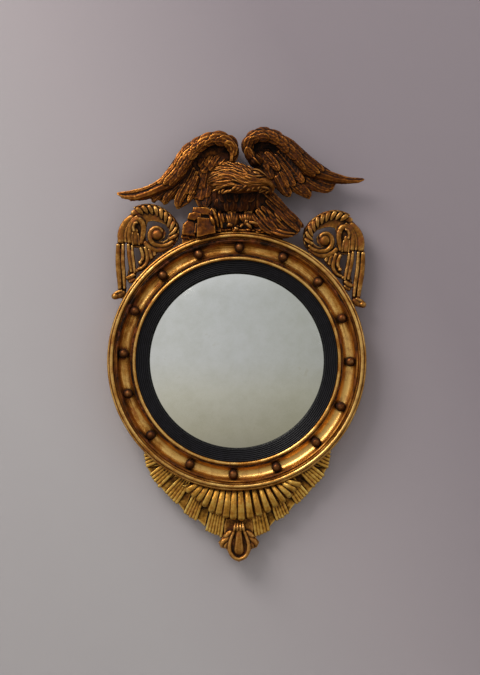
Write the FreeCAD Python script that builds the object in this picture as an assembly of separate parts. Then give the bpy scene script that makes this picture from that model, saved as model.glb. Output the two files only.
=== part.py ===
import FreeCAD, Part
import math
import os
from FreeCAD import Vector

# Round convex wall mirror with an eagle crest, side scrolls and a fan apron.
# Millimetres. +Z is up and the front faces -Y. The wall is the plane y = 0, and the origin is
# the middle of the ring on that plane. Left and right are the viewer's.

# ---- driving sizes of the turned frame ----
FRAME_DIAMETER = 585.0
BACK_RING_DEPTH = 24.0
FRONT_RING_DEPTH = 38.0
BACK_RING_OUTER_INSET = 6.5
BACK_RING_WIDTH = 50.0
RIM_BEAD_WIDTH = 12.5
RIM_GROOVE_WIDTH = 10.0
COVE_WIDTH = 29.0
COVE_SINK = 16.0
COVE_INNER_STEP = 6.0
FILLET_WIDTH = 4.0
INNER_BEAD_WIDTH = 8.0
INNER_BEAD_RISE = 4.0
LIP_THICKNESS = 3.5
SLIP_LAP = 6.0
SLIP_WIDTH = 28.0
SLIP_EDGE_THICKNESS = 4.5
REED_COUNT = 5
REED_RISE = 2.0
SIGHT_FILLET_WIDTH = 3.0
RIM_EDGE_FILLET = 4.0
RIM_BEAD_TOP_DROP = 4.0
RIM_BASE_TAPER = 1.5
RIM_BASE_HEIGHT = 10.0
GROOVE_SINK = 4.0

# ---- glass, its blocks and the backboards ----
PLATE_LAP = 11.0
PLATE_THICKNESS = 3.0
PLATE_BULGE = 33.0
BLOCK_THICKNESS = 3.0
BLOCK_LENGTH = 30.0
BLOCK_WIDTH = 8.0
BLOCK_COUNT = 8
BACKBOARD_THICKNESS = 8.0
BACKBOARD_SCREW_COUNT = 8

# ---- balls in the cove ----
BALL_DIAMETER = 22.5
BALL_SEAT_DIAMETER = 13.0
BALL_DOWEL_DIAMETER = 7.0
BALL_DOWEL_LENGTH = 11.0
# Degrees that each ball stands past its even place, clockwise from the top ball.
BALL_DRIFT = (1.3, 1.5, 0.7, 0.4, 0.3, 1.2, 0.7, 2.0, 1.8, 1.9, 4.3, 5.8, 3.8, 3.7, 4.2, 2.8)

# ---- clearances ----
SEAT_GAP = 0.3
FIT_GAP = 0.1
HINGE_GAP = 0.08
BORE_GAP = 0.5

# ---- woodscrews ----
SCREW_SHANK = 3.5
SCREW_HEAD = 7.0
SCREW_HEAD_HEIGHT = 2.2
SCREW_SLOT_WIDTH = 0.9
SCREW_SLOT_DEPTH = 0.9
STRAP_SCREW_LENGTH = 16.0
BOARD_SCREW_LENGTH = 20.0
HANGER_SCREW_LENGTH = 8.0

# ---- iron straps that tie the crest and the apron to the ring ----
STRAP_WIDTH = 16.0
STRAP_THICKNESS = 2.8
STRAP_SINK = 0.2
STRAP_BELOW_EDGE = 46.0
STRAP_ABOVE_EDGE = 36.0
STRAP_HOLE_END = 7.0
STRAP_HOLE_PITCH = 17.0
CREST_STRAP_X = 52.0
APRON_STRAP_X = 60.0

# ---- hanger: a brass plate with a knuckle, and the ring that turns in it ----
POCKET_HALF_WIDTH = 24.0
POCKET_DEPTH = 14.0
HANGER_FROM_EDGE = 36.5
HANGER_PLATE_HALF_WIDTH = 20.0
HANGER_PLATE_HEIGHT = 18.5
HANGER_PLATE_TOP = 1.5
HANGER_PLATE_THICKNESS = 2.0
HANGER_SCREW_X = 12.5
HANGER_SCREW_DROP = 10.5
KNUCKLE_LENGTH = 16.0
KNUCKLE_WALL = 1.9
KNUCKLE_SINK = 0.5
RING_WIRE = 4.0
RING_BEND_RADIUS = 14.0
RING_HEADROOM = 3.5

# ---- carved ornament ----
ORNAMENT_INSET = 2.5
ORNAMENT_BACK = 3.0
CREST_BLOCK_THICKNESS = 37.0
CREST_BLOCK_TOP = 48.0
CREST_BLOCK_HALF_WIDTH = 104.0
CREST_BLOCK_SHOULDER = 30.0
ROCK_THICKNESS = 30.0
BODY_HALF_WIDTH = 45.0
BODY_HEIGHT = 100.0
BODY_THICKNESS = 46.0
BODY_BACK = 20.0
WING_BACK = 24.0
WING_WEB_THICKNESS = 16.0
WING_DEPTH = 46.0
TAIL_THICKNESS = 20.0
LEG_THICKNESS = 22.0
DOWEL_DIAMETER = 8.0
DOWEL_LENGTH = 24.0
DOWEL_END_GAP = 1.0
SCROLL_BACK = 24.0
SCROLL_THICKNESS = 20.0
SCROLL_RELIEF = 9.0
RIGHT_SCROLL_TURN = 3.9
APRON_BOARD_THICKNESS = 21.0
RAY_RISE = 14.0
LOW_RAY_RISE = 8.0
FAN_FINGER_RADIUS = 8.6
DROP_THICKNESS = 26.0

# ---- sizes worked out from those above ----
RING_RADIUS = FRAME_DIAMETER / 2
GROOVE_RADIUS = RING_RADIUS - RIM_BEAD_WIDTH
COVE_OUTER_RADIUS = GROOVE_RADIUS - RIM_GROOVE_WIDTH
COVE_INNER_RADIUS = COVE_OUTER_RADIUS - COVE_WIDTH
BEAD_OUTER_RADIUS = COVE_INNER_RADIUS - FILLET_WIDTH
LIP_RADIUS = BEAD_OUTER_RADIUS - INNER_BEAD_WIDTH
SIGHT_RADIUS = LIP_RADIUS - SLIP_WIDTH
PLATE_RADIUS = SIGHT_RADIUS + PLATE_LAP
REBATE_RADIUS = LIP_RADIUS + SLIP_LAP
BACK_RING_RADIUS = RING_RADIUS - BACK_RING_OUTER_INSET
BACK_BORE_RADIUS = BACK_RING_RADIUS - BACK_RING_WIDTH

JOINT_Y = -BACK_RING_DEPTH
FRONT_Y = JOINT_Y - FRONT_RING_DEPTH
RIM_SHOULDER_Y = FRONT_Y + RIM_BEAD_TOP_DROP
COVE_EDGE_Y = FRONT_Y + 1.5 * RIM_BEAD_TOP_DROP
COVE_FLOOR_Y = COVE_EDGE_Y + COVE_SINK
FILLET_Y = COVE_EDGE_Y + COVE_INNER_STEP
LIP_BACK_Y = FILLET_Y + LIP_THICKNESS
BALL_RING_RADIUS = (COVE_OUTER_RADIUS + COVE_INNER_RADIUS) / 2 + 0.05 * COVE_WIDTH

PLATE_BACK_Y = JOINT_Y - BLOCK_THICKNESS
PLATE_RIM_Y = PLATE_BACK_Y - PLATE_THICKNESS
SPHERE_RADIUS = (PLATE_RADIUS ** 2 + PLATE_BULGE ** 2) / (2 * PLATE_BULGE)
BALL_COUNT = len(BALL_DRIFT)

ORNAMENT_RADIUS = RING_RADIUS - ORNAMENT_INSET
ORNAMENT_BACK_Y = -ORNAMENT_BACK
CREST_FRONT_Y = ORNAMENT_BACK_Y - CREST_BLOCK_THICKNESS
BODY_BACK_Y = -BODY_BACK
BODY_FRONT_Y = BODY_BACK_Y - BODY_THICKNESS
BODY_FOOT = CREST_BLOCK_TOP
WING_BACK_Y = -WING_BACK
WEB_FRONT_Y = WING_BACK_Y - WING_WEB_THICKNESS
APRON_FRONT_Y = ORNAMENT_BACK_Y - APRON_BOARD_THICKNESS
HANGER_Z = RING_RADIUS - HANGER_FROM_EDGE
POCKET_FLOOR_Y = -POCKET_DEPTH
KNUCKLE_RADIUS = RING_WIRE / 2 + HINGE_GAP + KNUCKLE_WALL
HANGER_AXIS_Y = POCKET_FLOOR_Y + HANGER_PLATE_THICKNESS + KNUCKLE_RADIUS - KNUCKLE_SINK
HANGER_PLATE_FOOT_Z = HANGER_Z + HANGER_PLATE_TOP - HANGER_PLATE_HEIGHT
HANGER_SCREW_Z = HANGER_Z - HANGER_SCREW_DROP

SHAPES = {}
ALONG_Y = Vector(0, 1, 0)
FORWARD = Vector(0, -1, 0)


# ---- drawing helpers ----
def in_section(point):
    """A (radius, depth) point of a turned section."""
    return Vector(point[0], point[1], 0)


def edge_chain(points, place):
    """Edges through the points; a step may be a (through, end) pair, which draws an arc."""
    edges = []
    here = points[0]
    for step in points[1:]:
        if isinstance(step[0], tuple):
            through, end = step
            edges.append(Part.Arc(place(here), place(through), place(end)).toShape())
        else:
            end = step
            edges.append(Part.LineSegment(place(here), place(end)).toShape())
        here = end
    return edges


def turned(points):
    """The solid of revolution about the mirror's axis of a closed section."""
    wire = Part.Wire(edge_chain(points + [points[0]], in_section))
    solid = Part.Face(wire).revolve(Vector(0, 0, 0), ALONG_Y, 360)
    if solid.Volume < 0:
        solid.reverse()
    return solid


def crest_point(x, z, y=0.0):
    """A point drawn from the crest's base line, just under the ring's top."""
    return Vector(x, y, ORNAMENT_RADIUS + z)


def apron_point(x, z, y=0.0):
    """A point drawn from the apron's base line, just above the ring's bottom."""
    return Vector(x, y, z - ORNAMENT_RADIUS)


def scroll_point(x, z, y=0.0):
    """A point drawn from the ring's upper left edge, 45 degrees round."""
    corner = ORNAMENT_RADIUS * math.sqrt(0.5)
    return Vector(x - corner, y, z + corner)


def board(outline, place, back, front):
    """A flat piece cut to a front-view outline and running from back to front."""
    corners = [place(x, z, back) for x, z in outline]
    face = Part.Face(Part.makePolygon(corners + [corners[0]]))
    return face.extrude(Vector(0, front - back, 0))


def rod(start, end, radius, end_radius=None):
    """A round rod or tapered rod between two points."""
    along = end.sub(start)
    if end_radius is None or abs(end_radius - radius) < 0.001:
        return Part.makeCylinder(radius, along.Length, start, along)
    return Part.makeCone(radius, end_radius, along.Length, start, along)


def lofted(sections):
    """A straight-sided solid through closed polygons with the same number of corners."""
    wires = [Part.makePolygon(corners + [corners[0]]) for corners in sections]
    solid = Part.makeLoft(wires, True, True)
    if solid.Volume < 0:
        solid.reverse()
    return solid


def joined(pieces):
    """One solid out of pieces that run into each other."""
    return pieces[0].multiFuse(pieces[1:]).removeSplitter()


def clear_of_ring(shape):
    """The shape cut back to sit just outside the ring's edge."""
    length = 4 * (BACK_RING_DEPTH + FRONT_RING_DEPTH)
    drum = Part.makeCylinder(RING_RADIUS + SEAT_GAP, length, Vector(0, -length / 2, 0), ALONG_Y)
    return shape.cut(drum)


def on_circle(radius, degrees, y=0.0):
    """A point on a circle round the mirror's axis, degrees clockwise from the top."""
    angle = math.radians(degrees)
    return Vector(radius * math.sin(angle), y, radius * math.cos(angle))


def woodscrew(head_centre, length):
    """A slotted countersunk screw driven forwards, its head's flat at head_centre."""
    shank_start = head_centre.add(FORWARD * SCREW_HEAD_HEIGHT)
    head = Part.makeCone(SCREW_HEAD / 2, SCREW_SHANK / 2, SCREW_HEAD_HEIGHT, head_centre, FORWARD)
    point_length = SCREW_SHANK
    body_length = length - SCREW_HEAD_HEIGHT - point_length
    shank = Part.makeCylinder(SCREW_SHANK / 2, body_length, shank_start, FORWARD)
    point_start = shank_start.add(FORWARD * body_length)
    point = Part.makeCone(SCREW_SHANK / 2, 0.15 * SCREW_SHANK, point_length, point_start, FORWARD)
    slot_corner = head_centre.add(Vector(-SCREW_HEAD, -SCREW_SLOT_DEPTH, -SCREW_SLOT_WIDTH / 2))
    slot = Part.makeBox(2 * SCREW_HEAD, 2 * SCREW_SLOT_DEPTH, SCREW_SLOT_WIDTH, slot_corner)
    return head.fuse(shank).fuse(point).cut(slot)


def screw_hole(head_centre, length):
    """The hole for such a screw, a fit gap larger all round."""
    head_radius = SCREW_HEAD / 2 + FIT_GAP
    shank_radius = SCREW_SHANK / 2 + FIT_GAP
    lifted = head_centre.sub(FORWARD * FIT_GAP)
    cone_height = SCREW_HEAD_HEIGHT + FIT_GAP
    cone = Part.makeCone(head_radius, shank_radius, cone_height, lifted, FORWARD)
    return cone.fuse(Part.makeCylinder(shank_radius, length + 2 * FIT_GAP, lifted, FORWARD))


def dowel(middle, direction):
    """A plain dowel centred on a joint."""
    start = middle.sub(direction * (DOWEL_LENGTH / 2))
    return Part.makeCylinder(DOWEL_DIAMETER / 2, DOWEL_LENGTH, start, direction)


def dowel_hole(middle, direction):
    """The hole for a dowel, through both sides of the joint."""
    length = DOWEL_LENGTH + 2 * DOWEL_END_GAP
    start = middle.sub(direction * (length / 2))
    return Part.makeCylinder(DOWEL_DIAMETER / 2 + FIT_GAP, length, start, direction)


# ---- turned frame ----
def front_moulding():
    """The gilt ring: rim bead, groove, cove, fillet, inner bead and the lip for the slip."""
    rim_base_y = JOINT_Y - RIM_BASE_HEIGHT
    edge_y = RIM_SHOULDER_Y + RIM_EDGE_FILLET
    bead_outer = RING_RADIUS - RIM_EDGE_FILLET
    bead_middle = (bead_outer + GROOVE_RADIUS) / 2
    groove_middle = (GROOVE_RADIUS + COVE_OUTER_RADIUS) / 2
    fillet_turn = RIM_EDGE_FILLET * (1 - math.sqrt(0.5))
    cove_middle = (COVE_OUTER_RADIUS + COVE_INNER_RADIUS) / 2
    bead_centre = (BEAD_OUTER_RADIUS + LIP_RADIUS) / 2
    return turned([
        (RING_RADIUS - RIM_BASE_TAPER, JOINT_Y),
        (RING_RADIUS, rim_base_y),
        (RING_RADIUS, edge_y),
        ((RING_RADIUS - fillet_turn, RIM_SHOULDER_Y + fillet_turn), (bead_outer, RIM_SHOULDER_Y)),
        ((bead_middle, FRONT_Y), (GROOVE_RADIUS, RIM_SHOULDER_Y)),
        ((groove_middle, RIM_SHOULDER_Y + GROOVE_SINK), (COVE_OUTER_RADIUS, COVE_EDGE_Y)),
        ((cove_middle, COVE_FLOOR_Y), (COVE_INNER_RADIUS, FILLET_Y)),
        (BEAD_OUTER_RADIUS, FILLET_Y),
        ((bead_centre, FILLET_Y - INNER_BEAD_RISE), (LIP_RADIUS, FILLET_Y)),
        (LIP_RADIUS, LIP_BACK_Y),
        (REBATE_RADIUS, LIP_BACK_Y),
        (REBATE_RADIUS, JOINT_Y),
    ])


def plate_front_y(radius):
    """How far forward the glass's face stands at a radius."""
    flat = math.sqrt(SPHERE_RADIUS ** 2 - PLATE_RADIUS ** 2)
    return PLATE_RIM_Y - (math.sqrt(SPHERE_RADIUS ** 2 - radius ** 2) - flat)


def slip_section():
    """The ebonised slip: reeds down to the sight edge, and the rebate for the glass behind."""
    plate_gap_radius = PLATE_RADIUS + BORE_GAP
    seat_y = plate_front_y(SIGHT_RADIUS) - SEAT_GAP
    sight_y = seat_y - SLIP_EDGE_THICKNESS
    reed_width = (SLIP_WIDTH - SIGHT_FILLET_WIDTH) / REED_COUNT
    points = [(REBATE_RADIUS - SEAT_GAP, JOINT_Y), (REBATE_RADIUS - SEAT_GAP, LIP_BACK_Y)]
    points.append((LIP_RADIUS, LIP_BACK_Y))
    fall = (sight_y - LIP_BACK_Y) / REED_COUNT
    for reed in range(REED_COUNT):
        top_y = LIP_BACK_Y + fall * reed
        radius = LIP_RADIUS - reed_width * (reed + 0.5)
        crown = (radius, top_y + fall / 2 - REED_RISE)
        points.append((crown, (LIP_RADIUS - reed_width * (reed + 1), top_y + fall)))
    points += [(SIGHT_RADIUS, sight_y), (SIGHT_RADIUS, seat_y)]
    points += [(plate_gap_radius, PLATE_RIM_Y - SEAT_GAP), (plate_gap_radius, JOINT_Y)]
    return turned(points)


def glass_plate():
    """The convex looking-glass, a slice of a sphere of even thickness."""
    middle_radius = PLATE_RADIUS / 2
    front_middle = (middle_radius, plate_front_y(middle_radius))
    back_middle = (middle_radius, plate_front_y(middle_radius) + PLATE_THICKNESS)
    return turned([
        (0.0, PLATE_RIM_Y - PLATE_BULGE),
        (front_middle, (PLATE_RADIUS, PLATE_RIM_Y)),
        (PLATE_RADIUS, PLATE_BACK_Y),
        (back_middle, (0.0, PLATE_BACK_Y - PLATE_BULGE)),
    ])


def ball_angle(index):
    """Degrees clockwise from the top to a ball."""
    return 360.0 * index / BALL_COUNT + BALL_DRIFT[index]


def ball_seat_y():
    """Depth of the flat that each ball stands on, just under the cove's floor."""
    return COVE_FLOOR_Y + SEAT_GAP


def ball(index):
    """A turned ball with a flat foot and a dowel into the cove."""
    radius = BALL_DIAMETER / 2
    seat_radius = BALL_SEAT_DIAMETER / 2
    rise = math.sqrt(radius ** 2 - seat_radius ** 2)
    seat = on_circle(BALL_RING_RADIUS, ball_angle(index), ball_seat_y())
    sphere = Part.makeSphere(radius, seat.add(FORWARD * rise))
    behind = Part.makeCylinder(BALL_DIAMETER, BALL_DIAMETER, seat, ALONG_Y)
    tenon_end = seat.sub(FORWARD * BALL_DOWEL_LENGTH)
    tenon = rod(tenon_end, seat.add(FORWARD * rise), BALL_DOWEL_DIAMETER / 2)
    return sphere.cut(behind).fuse(tenon).removeSplitter()


def ball_socket(index):
    """The flat seat and the dowel hole that a ball needs in the cove."""
    seat = on_circle(BALL_RING_RADIUS, ball_angle(index), ball_seat_y())
    relief = Part.makeCylinder(BALL_SEAT_DIAMETER / 2 + 2 * SEAT_GAP, BALL_DIAMETER, seat, FORWARD)
    sphere = Part.makeSphere(
        BALL_DIAMETER / 2 + SEAT_GAP,
        seat.add(FORWARD * math.sqrt((BALL_DIAMETER ** 2 - BALL_SEAT_DIAMETER ** 2) / 4)))
    behind = Part.makeCylinder(BALL_DIAMETER, BALL_DIAMETER, seat, ALONG_Y)
    hole_end = seat.sub(FORWARD * (BALL_DOWEL_LENGTH + DOWEL_END_GAP))
    hole = rod(hole_end, seat, BALL_DOWEL_DIAMETER / 2 + FIT_GAP)
    return relief.fuse(sphere.cut(behind)).fuse(hole)


def back_ring():
    """The plain pine ring behind the moulding, whose back bears on the wall."""
    thickness = BACK_RING_DEPTH
    start = Vector(0, JOINT_Y, 0)
    outer = Part.makeCylinder(BACK_RING_RADIUS, thickness, start, ALONG_Y)
    return outer.cut(Part.makeCylinder(BACK_BORE_RADIUS, thickness, start, ALONG_Y))


def backboard(side):
    """Half of the round backboard; side is -1 on the left and 1 on the right."""
    radius = BACK_BORE_RADIUS - BORE_GAP
    disc = Part.makeCylinder(radius, BACKBOARD_THICKNESS, Vector(0, JOINT_Y, 0), ALONG_Y)
    corner = Vector(0 if side > 0 else -2 * radius, 2 * JOINT_Y, -2 * radius)
    return disc.common(Part.makeBox(2 * radius, 4 * BACK_RING_DEPTH, 4 * radius, corner))


def backboard_screw_places():
    """Head centres of the screws round the backboards' edge."""
    radius = (PLATE_RADIUS + BORE_GAP + REBATE_RADIUS - SEAT_GAP) / 2
    step = 360.0 / BACKBOARD_SCREW_COUNT
    head_y = JOINT_Y + BACKBOARD_THICKNESS
    return [on_circle(radius, step * (index + 0.5), head_y) for index in range(BACKBOARD_SCREW_COUNT)]


def glazing_blocks():
    """Pine blocks that press the glass's rim forward against the slip."""
    outer = PLATE_RADIUS + SEAT_GAP
    blank = Part.makeBox(BLOCK_LENGTH, BLOCK_THICKNESS, BLOCK_WIDTH,
                         Vector(-BLOCK_LENGTH / 2, PLATE_BACK_Y, outer - BLOCK_WIDTH))
    drum = Part.makeCylinder(outer, BLOCK_THICKNESS, Vector(0, PLATE_BACK_Y, 0), ALONG_Y)
    blank = blank.common(drum)
    blocks = []
    for index in range(BLOCK_COUNT):
        block = blank.copy()
        block.rotate(Vector(0, 0, 0), ALONG_Y, 360.0 * index / BLOCK_COUNT)
        blocks.append(block)
    return Part.makeCompound(blocks)


# ---- straps, their screws and the hanger ----
def edge_height(radius, x):
    """Height of a circle's top above the mirror's axis at a distance x to the side."""
    return math.sqrt(radius ** 2 - x ** 2)


def strap_span(x):
    """Lowest and highest points of a strap at x, for the strap at the top."""
    edge = edge_height(BACK_RING_RADIUS, x)
    return edge - STRAP_BELOW_EDGE + STRAP_ABOVE_EDGE / 4, edge + STRAP_ABOVE_EDGE + STRAP_HOLE_END


def strap_box(x, up, grow):
    """A strap's bar, up to the crest or down to the apron, grown sideways by grow."""
    low, high = strap_span(x)
    thickness = STRAP_THICKNESS + (STRAP_SINK if grow else 0.0)
    z = low - grow if up > 0 else -high - grow
    corner = Vector(x - STRAP_WIDTH / 2 - grow, -STRAP_SINK - STRAP_THICKNESS, z)
    return Part.makeBox(STRAP_WIDTH + 2 * grow, thickness, high - low + 2 * grow, corner)


def strap_screw_places(x, up):
    """Head centres of a strap's four screws, two in the ring and two in the ornament."""
    low, high = strap_span(x)
    from_low = [low + STRAP_HOLE_END, low + STRAP_HOLE_END + STRAP_HOLE_PITCH]
    from_high = [high - STRAP_HOLE_END, high - STRAP_HOLE_END - STRAP_HOLE_PITCH]
    return [Vector(x, -STRAP_SINK, up * height) for height in from_low + from_high]


def all_straps():
    """Each strap's name, place and direction."""
    return (
        ("crest_strap_left", -CREST_STRAP_X, 1),
        ("crest_strap_right", CREST_STRAP_X, 1),
        ("apron_strap_left", -APRON_STRAP_X, -1),
        ("apron_strap_right", APRON_STRAP_X, -1),
    )


def hanger_pocket():
    """The pocket in the back ring that keeps the hanger in from the wall."""
    top = HANGER_Z + RING_BEND_RADIUS + RING_WIRE / 2 + RING_HEADROOM
    bottom = BACK_BORE_RADIUS * 0.95
    corner = Vector(-POCKET_HALF_WIDTH, POCKET_FLOOR_Y, bottom)
    return Part.makeBox(2 * POCKET_HALF_WIDTH, 2 * POCKET_DEPTH, top - bottom, corner)


def hanger_screw_places():
    """Head centres of the two hanger screws."""
    head_y = POCKET_FLOOR_Y + HANGER_PLATE_THICKNESS
    return [Vector(side * HANGER_SCREW_X, head_y, HANGER_SCREW_Z) for side in (-1, 1)]


def hanger_plate():
    """The brass plate under the knuckle that the hanging ring turns in."""
    plate = Part.makeBox(2 * HANGER_PLATE_HALF_WIDTH, HANGER_PLATE_THICKNESS, HANGER_PLATE_HEIGHT,
                         Vector(-HANGER_PLATE_HALF_WIDTH, POCKET_FLOOR_Y, HANGER_PLATE_FOOT_Z))
    start = Vector(-KNUCKLE_LENGTH / 2, HANGER_AXIS_Y, HANGER_Z)
    barrel = Part.makeCylinder(KNUCKLE_RADIUS, KNUCKLE_LENGTH, start, Vector(1, 0, 0))
    curl = 0.8 * KNUCKLE_RADIUS
    web = Part.makeBox(KNUCKLE_LENGTH, HANGER_AXIS_Y - POCKET_FLOOR_Y, curl,
                       Vector(-KNUCKLE_LENGTH / 2, POCKET_FLOOR_Y, HANGER_Z - curl))
    bore = Part.makeCylinder(RING_WIRE / 2 + HINGE_GAP, KNUCKLE_LENGTH, start, Vector(1, 0, 0))
    plate = plate.fuse(barrel).fuse(web).cut(bore)
    for place in hanger_screw_places():
        plate = plate.cut(screw_hole(place, HANGER_SCREW_LENGTH))
    return plate.removeSplitter()


def hanging_ring():
    """The D-shaped ring: a straight bar in the knuckle and a bow that hangs below it."""
    radius = RING_WIRE / 2
    left = Vector(-RING_BEND_RADIUS, HANGER_AXIS_Y, HANGER_Z)
    right = Vector(RING_BEND_RADIUS, HANGER_AXIS_Y, HANGER_Z)
    middle = Vector(0, HANGER_AXIS_Y, HANGER_Z)
    torus = Part.makeTorus(RING_BEND_RADIUS, radius, middle, ALONG_Y)
    reach = RING_BEND_RADIUS + RING_WIRE
    below = Part.makeBox(2 * reach, 2 * reach, reach,
                         Vector(-reach, HANGER_AXIS_Y - reach, HANGER_Z - reach))
    bow = torus.common(below)
    bar = rod(left, right, radius)
    corners = [Part.makeSphere(radius, left), Part.makeSphere(radius, right)]
    return joined([bar, bow] + corners)


# ---- crest ----
def crest_block():
    """The pine block on top of the ring that carries the eagle."""
    half = CREST_BLOCK_HALF_WIDTH
    outline = [(-half, -40), (-half, 10), (-half + 18, CREST_BLOCK_SHOULDER), (-66, CREST_BLOCK_TOP),
               (66, CREST_BLOCK_TOP), (half - 24, CREST_BLOCK_SHOULDER), (half, 4), (half, -40)]
    return clear_of_ring(board(outline, crest_point, ORNAMENT_BACK_Y, CREST_FRONT_Y))


def rockwork():
    """The carved rocks at the eagle's right foot, in steps, with a curled leaf beside them."""
    front = CREST_FRONT_Y - ROCK_THICKNESS
    step = ROCK_THICKNESS / 6
    rocks = [
        board([(-97, 42), (-62, 40), (-62, 54), (-70, 57), (-93, 57)], crest_point, CREST_FRONT_Y, front),
        board([(-112, 22), (-60, 18), (-58, 42), (-108, 43)], crest_point, CREST_FRONT_Y, front + step),
        board([(-124, -28), (-84, -16), (-80, 26), (-121, 22)], crest_point,
              CREST_FRONT_Y, front + 3 * step),
        board([(-90, -10), (-48, -4), (-50, 30), (-88, 34)], crest_point, CREST_FRONT_Y, front - step),
        board([(-60, 6), (-36, 2), (-31, 30), (-36, 47), (-60, 47)], crest_point,
              CREST_FRONT_Y, front + 2 * step),
    ]
    rocks.append(rod(crest_point(-54, 47, CREST_FRONT_Y), crest_point(-54, 47, front), 7.5))
    return clear_of_ring(joined(rocks))


def eagle_body():
    """The breast and back between the wings, flat where its neighbours join it."""
    half = BODY_HALF_WIDTH
    back = BODY_BACK_Y
    front = BODY_FRONT_Y
    sections = []
    for share, width, back_in, front_in in ((0.0, 0.84, 2, 4), (0.22, 1.0, 0, 0), (0.62, 1.0, 0, 0),
                                            (0.87, 0.8, 3, 3), (1.0, 0.5, 8, 10)):
        z = BODY_FOOT + share * BODY_HEIGHT
        wide = half * width
        slim = 0.72 * wide
        near, far = front + front_in, back - back_in
        bevel = BODY_THICKNESS / 4
        corners = ((-slim, far), (-wide, far - bevel / 2), (-wide, near + bevel), (-slim, near),
                   (slim, near), (wide, near + bevel), (wide, far - bevel / 2), (slim, far))
        sections.append([crest_point(x, z, y) for x, y in corners])
    return lofted(sections)


def eagle_head():
    """Neck hackles, head and beak, turned to the viewer's right in front of the body."""
    # Distance to the side, underside, top and how far it stands forward of the breast.
    stations = ((-67, 111, 118, 5), (-52, 94, 135, 20), (-26, 89, 151, 32), (6, 87, 155, 40),
                (30, 89, 144, 46), (50, 91, 137, 48), (66, 90, 127, 42), (76, 82, 112, 34),
                (82, 87, 99, 28))
    seat = BODY_FRONT_Y
    sections = []
    for x, low, high, depth in stations:
        tall = high - low
        profile = ((0.0, 0.12), (0.0, 0.88), (0.55, 1.0), (0.92, 0.78), (1.0, 0.5), (0.88, 0.2), (0.5, 0.0))
        sections.append([crest_point(x, low + rise * tall, seat - out * depth) for out, rise in profile])
    return lofted(sections)


# Corners of a wing's hooked section: share of the way in from the outer edge, share of its depth.
ARM_SECTION = ((0.0, 0.12), (0.0, 0.45), (0.18, 0.8), (0.5, 1.0), (0.85, 0.95), (1.0, 0.8),
               (0.96, 0.62), (0.66, 0.42), (0.6, 0.0), (0.1, 0.0))


def wing_drawer(side):
    """Places a wing's points, whose x is the distance out from the body's side; side is -1 or 1."""
    def place(x, z, y=0.0):
        return crest_point(side * (BODY_HALF_WIDTH + x), z, y)
    return place


def wing_arm(side, stations):
    """The arched leading edge of a wing, hooked forwards over the hollow beneath it."""
    place = wing_drawer(side)
    sections = []
    for outer, inner, back_in, share in stations:
        corners = []
        for inward, forward in ARM_SECTION:
            x = outer[0] + (inner[0] - outer[0]) * inward
            z = outer[1] + (inner[1] - outer[1]) * inward
            y = WING_BACK_Y - back_in - forward * share * WING_DEPTH
            corners.append(place(x, z, y))
        sections.append(corners)
    return lofted(sections)


def left_wing():
    """The left wing: arched arm, hollow back wall and feather ends."""
    arm = wing_arm(-1, (
        ((-42, 160), (-27, 160), 0, 0.84), ((-47, 194), (-30, 188), 0, 0.9),
        ((-35, 215), (-18, 197), 0, 0.98), ((-10, 229.5), (-3, 199), 0, 1.0),
        ((15, 229), (12, 197), 0, 1.0), ((40, 218), (33, 186.5), 0, 1.0),
        ((65, 202.5), (48, 171), 0, 1.0), ((85, 186), (57, 153), 0, 0.98),
        ((101, 162), (70, 132), 0, 0.92), ((117, 139), (85, 114.5), 1, 0.82),
        ((135, 119), (101, 102), 4, 0.66), ((158, 105), (150, 82.5), 8, 0.5),
        ((185, 93), (184, 73), 12, 0.38), ((209, 90), (210, 76.5), 16, 0.28),
        ((227, 88.5), (225, 86), 20, 0.16),
    ))
    web = board([
        (0, 60), (0, 151), (-31, 162), (-35, 196), (-9, 216),
        (17, 214), (39, 204), (61, 188), (79, 172), (95, 148), (111, 128), (141, 108),
        (159, 96), (152, 83), (148, 71), (142, 69), (135, 76.5), (126, 71), (121, 64),
        (113, 67), (104, 76), (96, 79), (96, 66), (92, 54.5), (85, 56), (65, 67.5),
        (52, 80), (43, 60),
    ], wing_drawer(-1), WING_BACK_Y, WEB_FRONT_Y)
    return joined([arm, web])


def right_wing():
    """The right wing, carried a little higher and longer than the left."""
    arm = wing_arm(1, (
        ((-8, 157), (6, 160), 0, 0.84), ((-23, 173), (-9, 178), 0, 0.88),
        ((-30, 192), (-18, 190), 0, 0.92), ((-24, 217), (-12, 201), 0, 0.98),
        ((6.5, 237.5), (5, 205), 0, 1.0), ((34.5, 233), (30, 204.5), 0, 1.0),
        ((56, 225), (47, 198), 0, 1.0), ((84, 210), (60, 181), 0, 1.0),
        ((104, 191.5), (75, 167), 0, 0.98), ((124, 173.5), (92, 148.5), 0, 0.92),
        ((143, 159), (107, 131), 1, 0.82), ((162.5, 145.5), (135, 122), 5, 0.6),
        ((176, 135.5), (179, 112.5), 8, 0.46), ((209, 126), (209, 111.5), 13, 0.34),
        ((231, 123), (230, 112.5), 17, 0.24), ((245, 122.5), (242, 118), 20, 0.16),
    ))
    web = board([
        (0, 97), (43, 104), (49, 98), (54, 91), (62, 85), (70, 81), (77, 83),
        (81, 95), (92, 89), (104, 83), (114, 79), (120, 77), (124, 85), (126, 100), (144, 95),
        (154, 91.5), (163.5, 92), (171.5, 97), (178, 108), (179, 118), (155, 136), (137, 148),
        (118, 162), (98, 182), (78, 200), (52, 216), (7, 226), (-15, 212), (-23, 192),
        (-15, 176), (0, 162),
    ], wing_drawer(1), WING_BACK_Y, WEB_FRONT_Y)
    return joined([arm, web])


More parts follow.
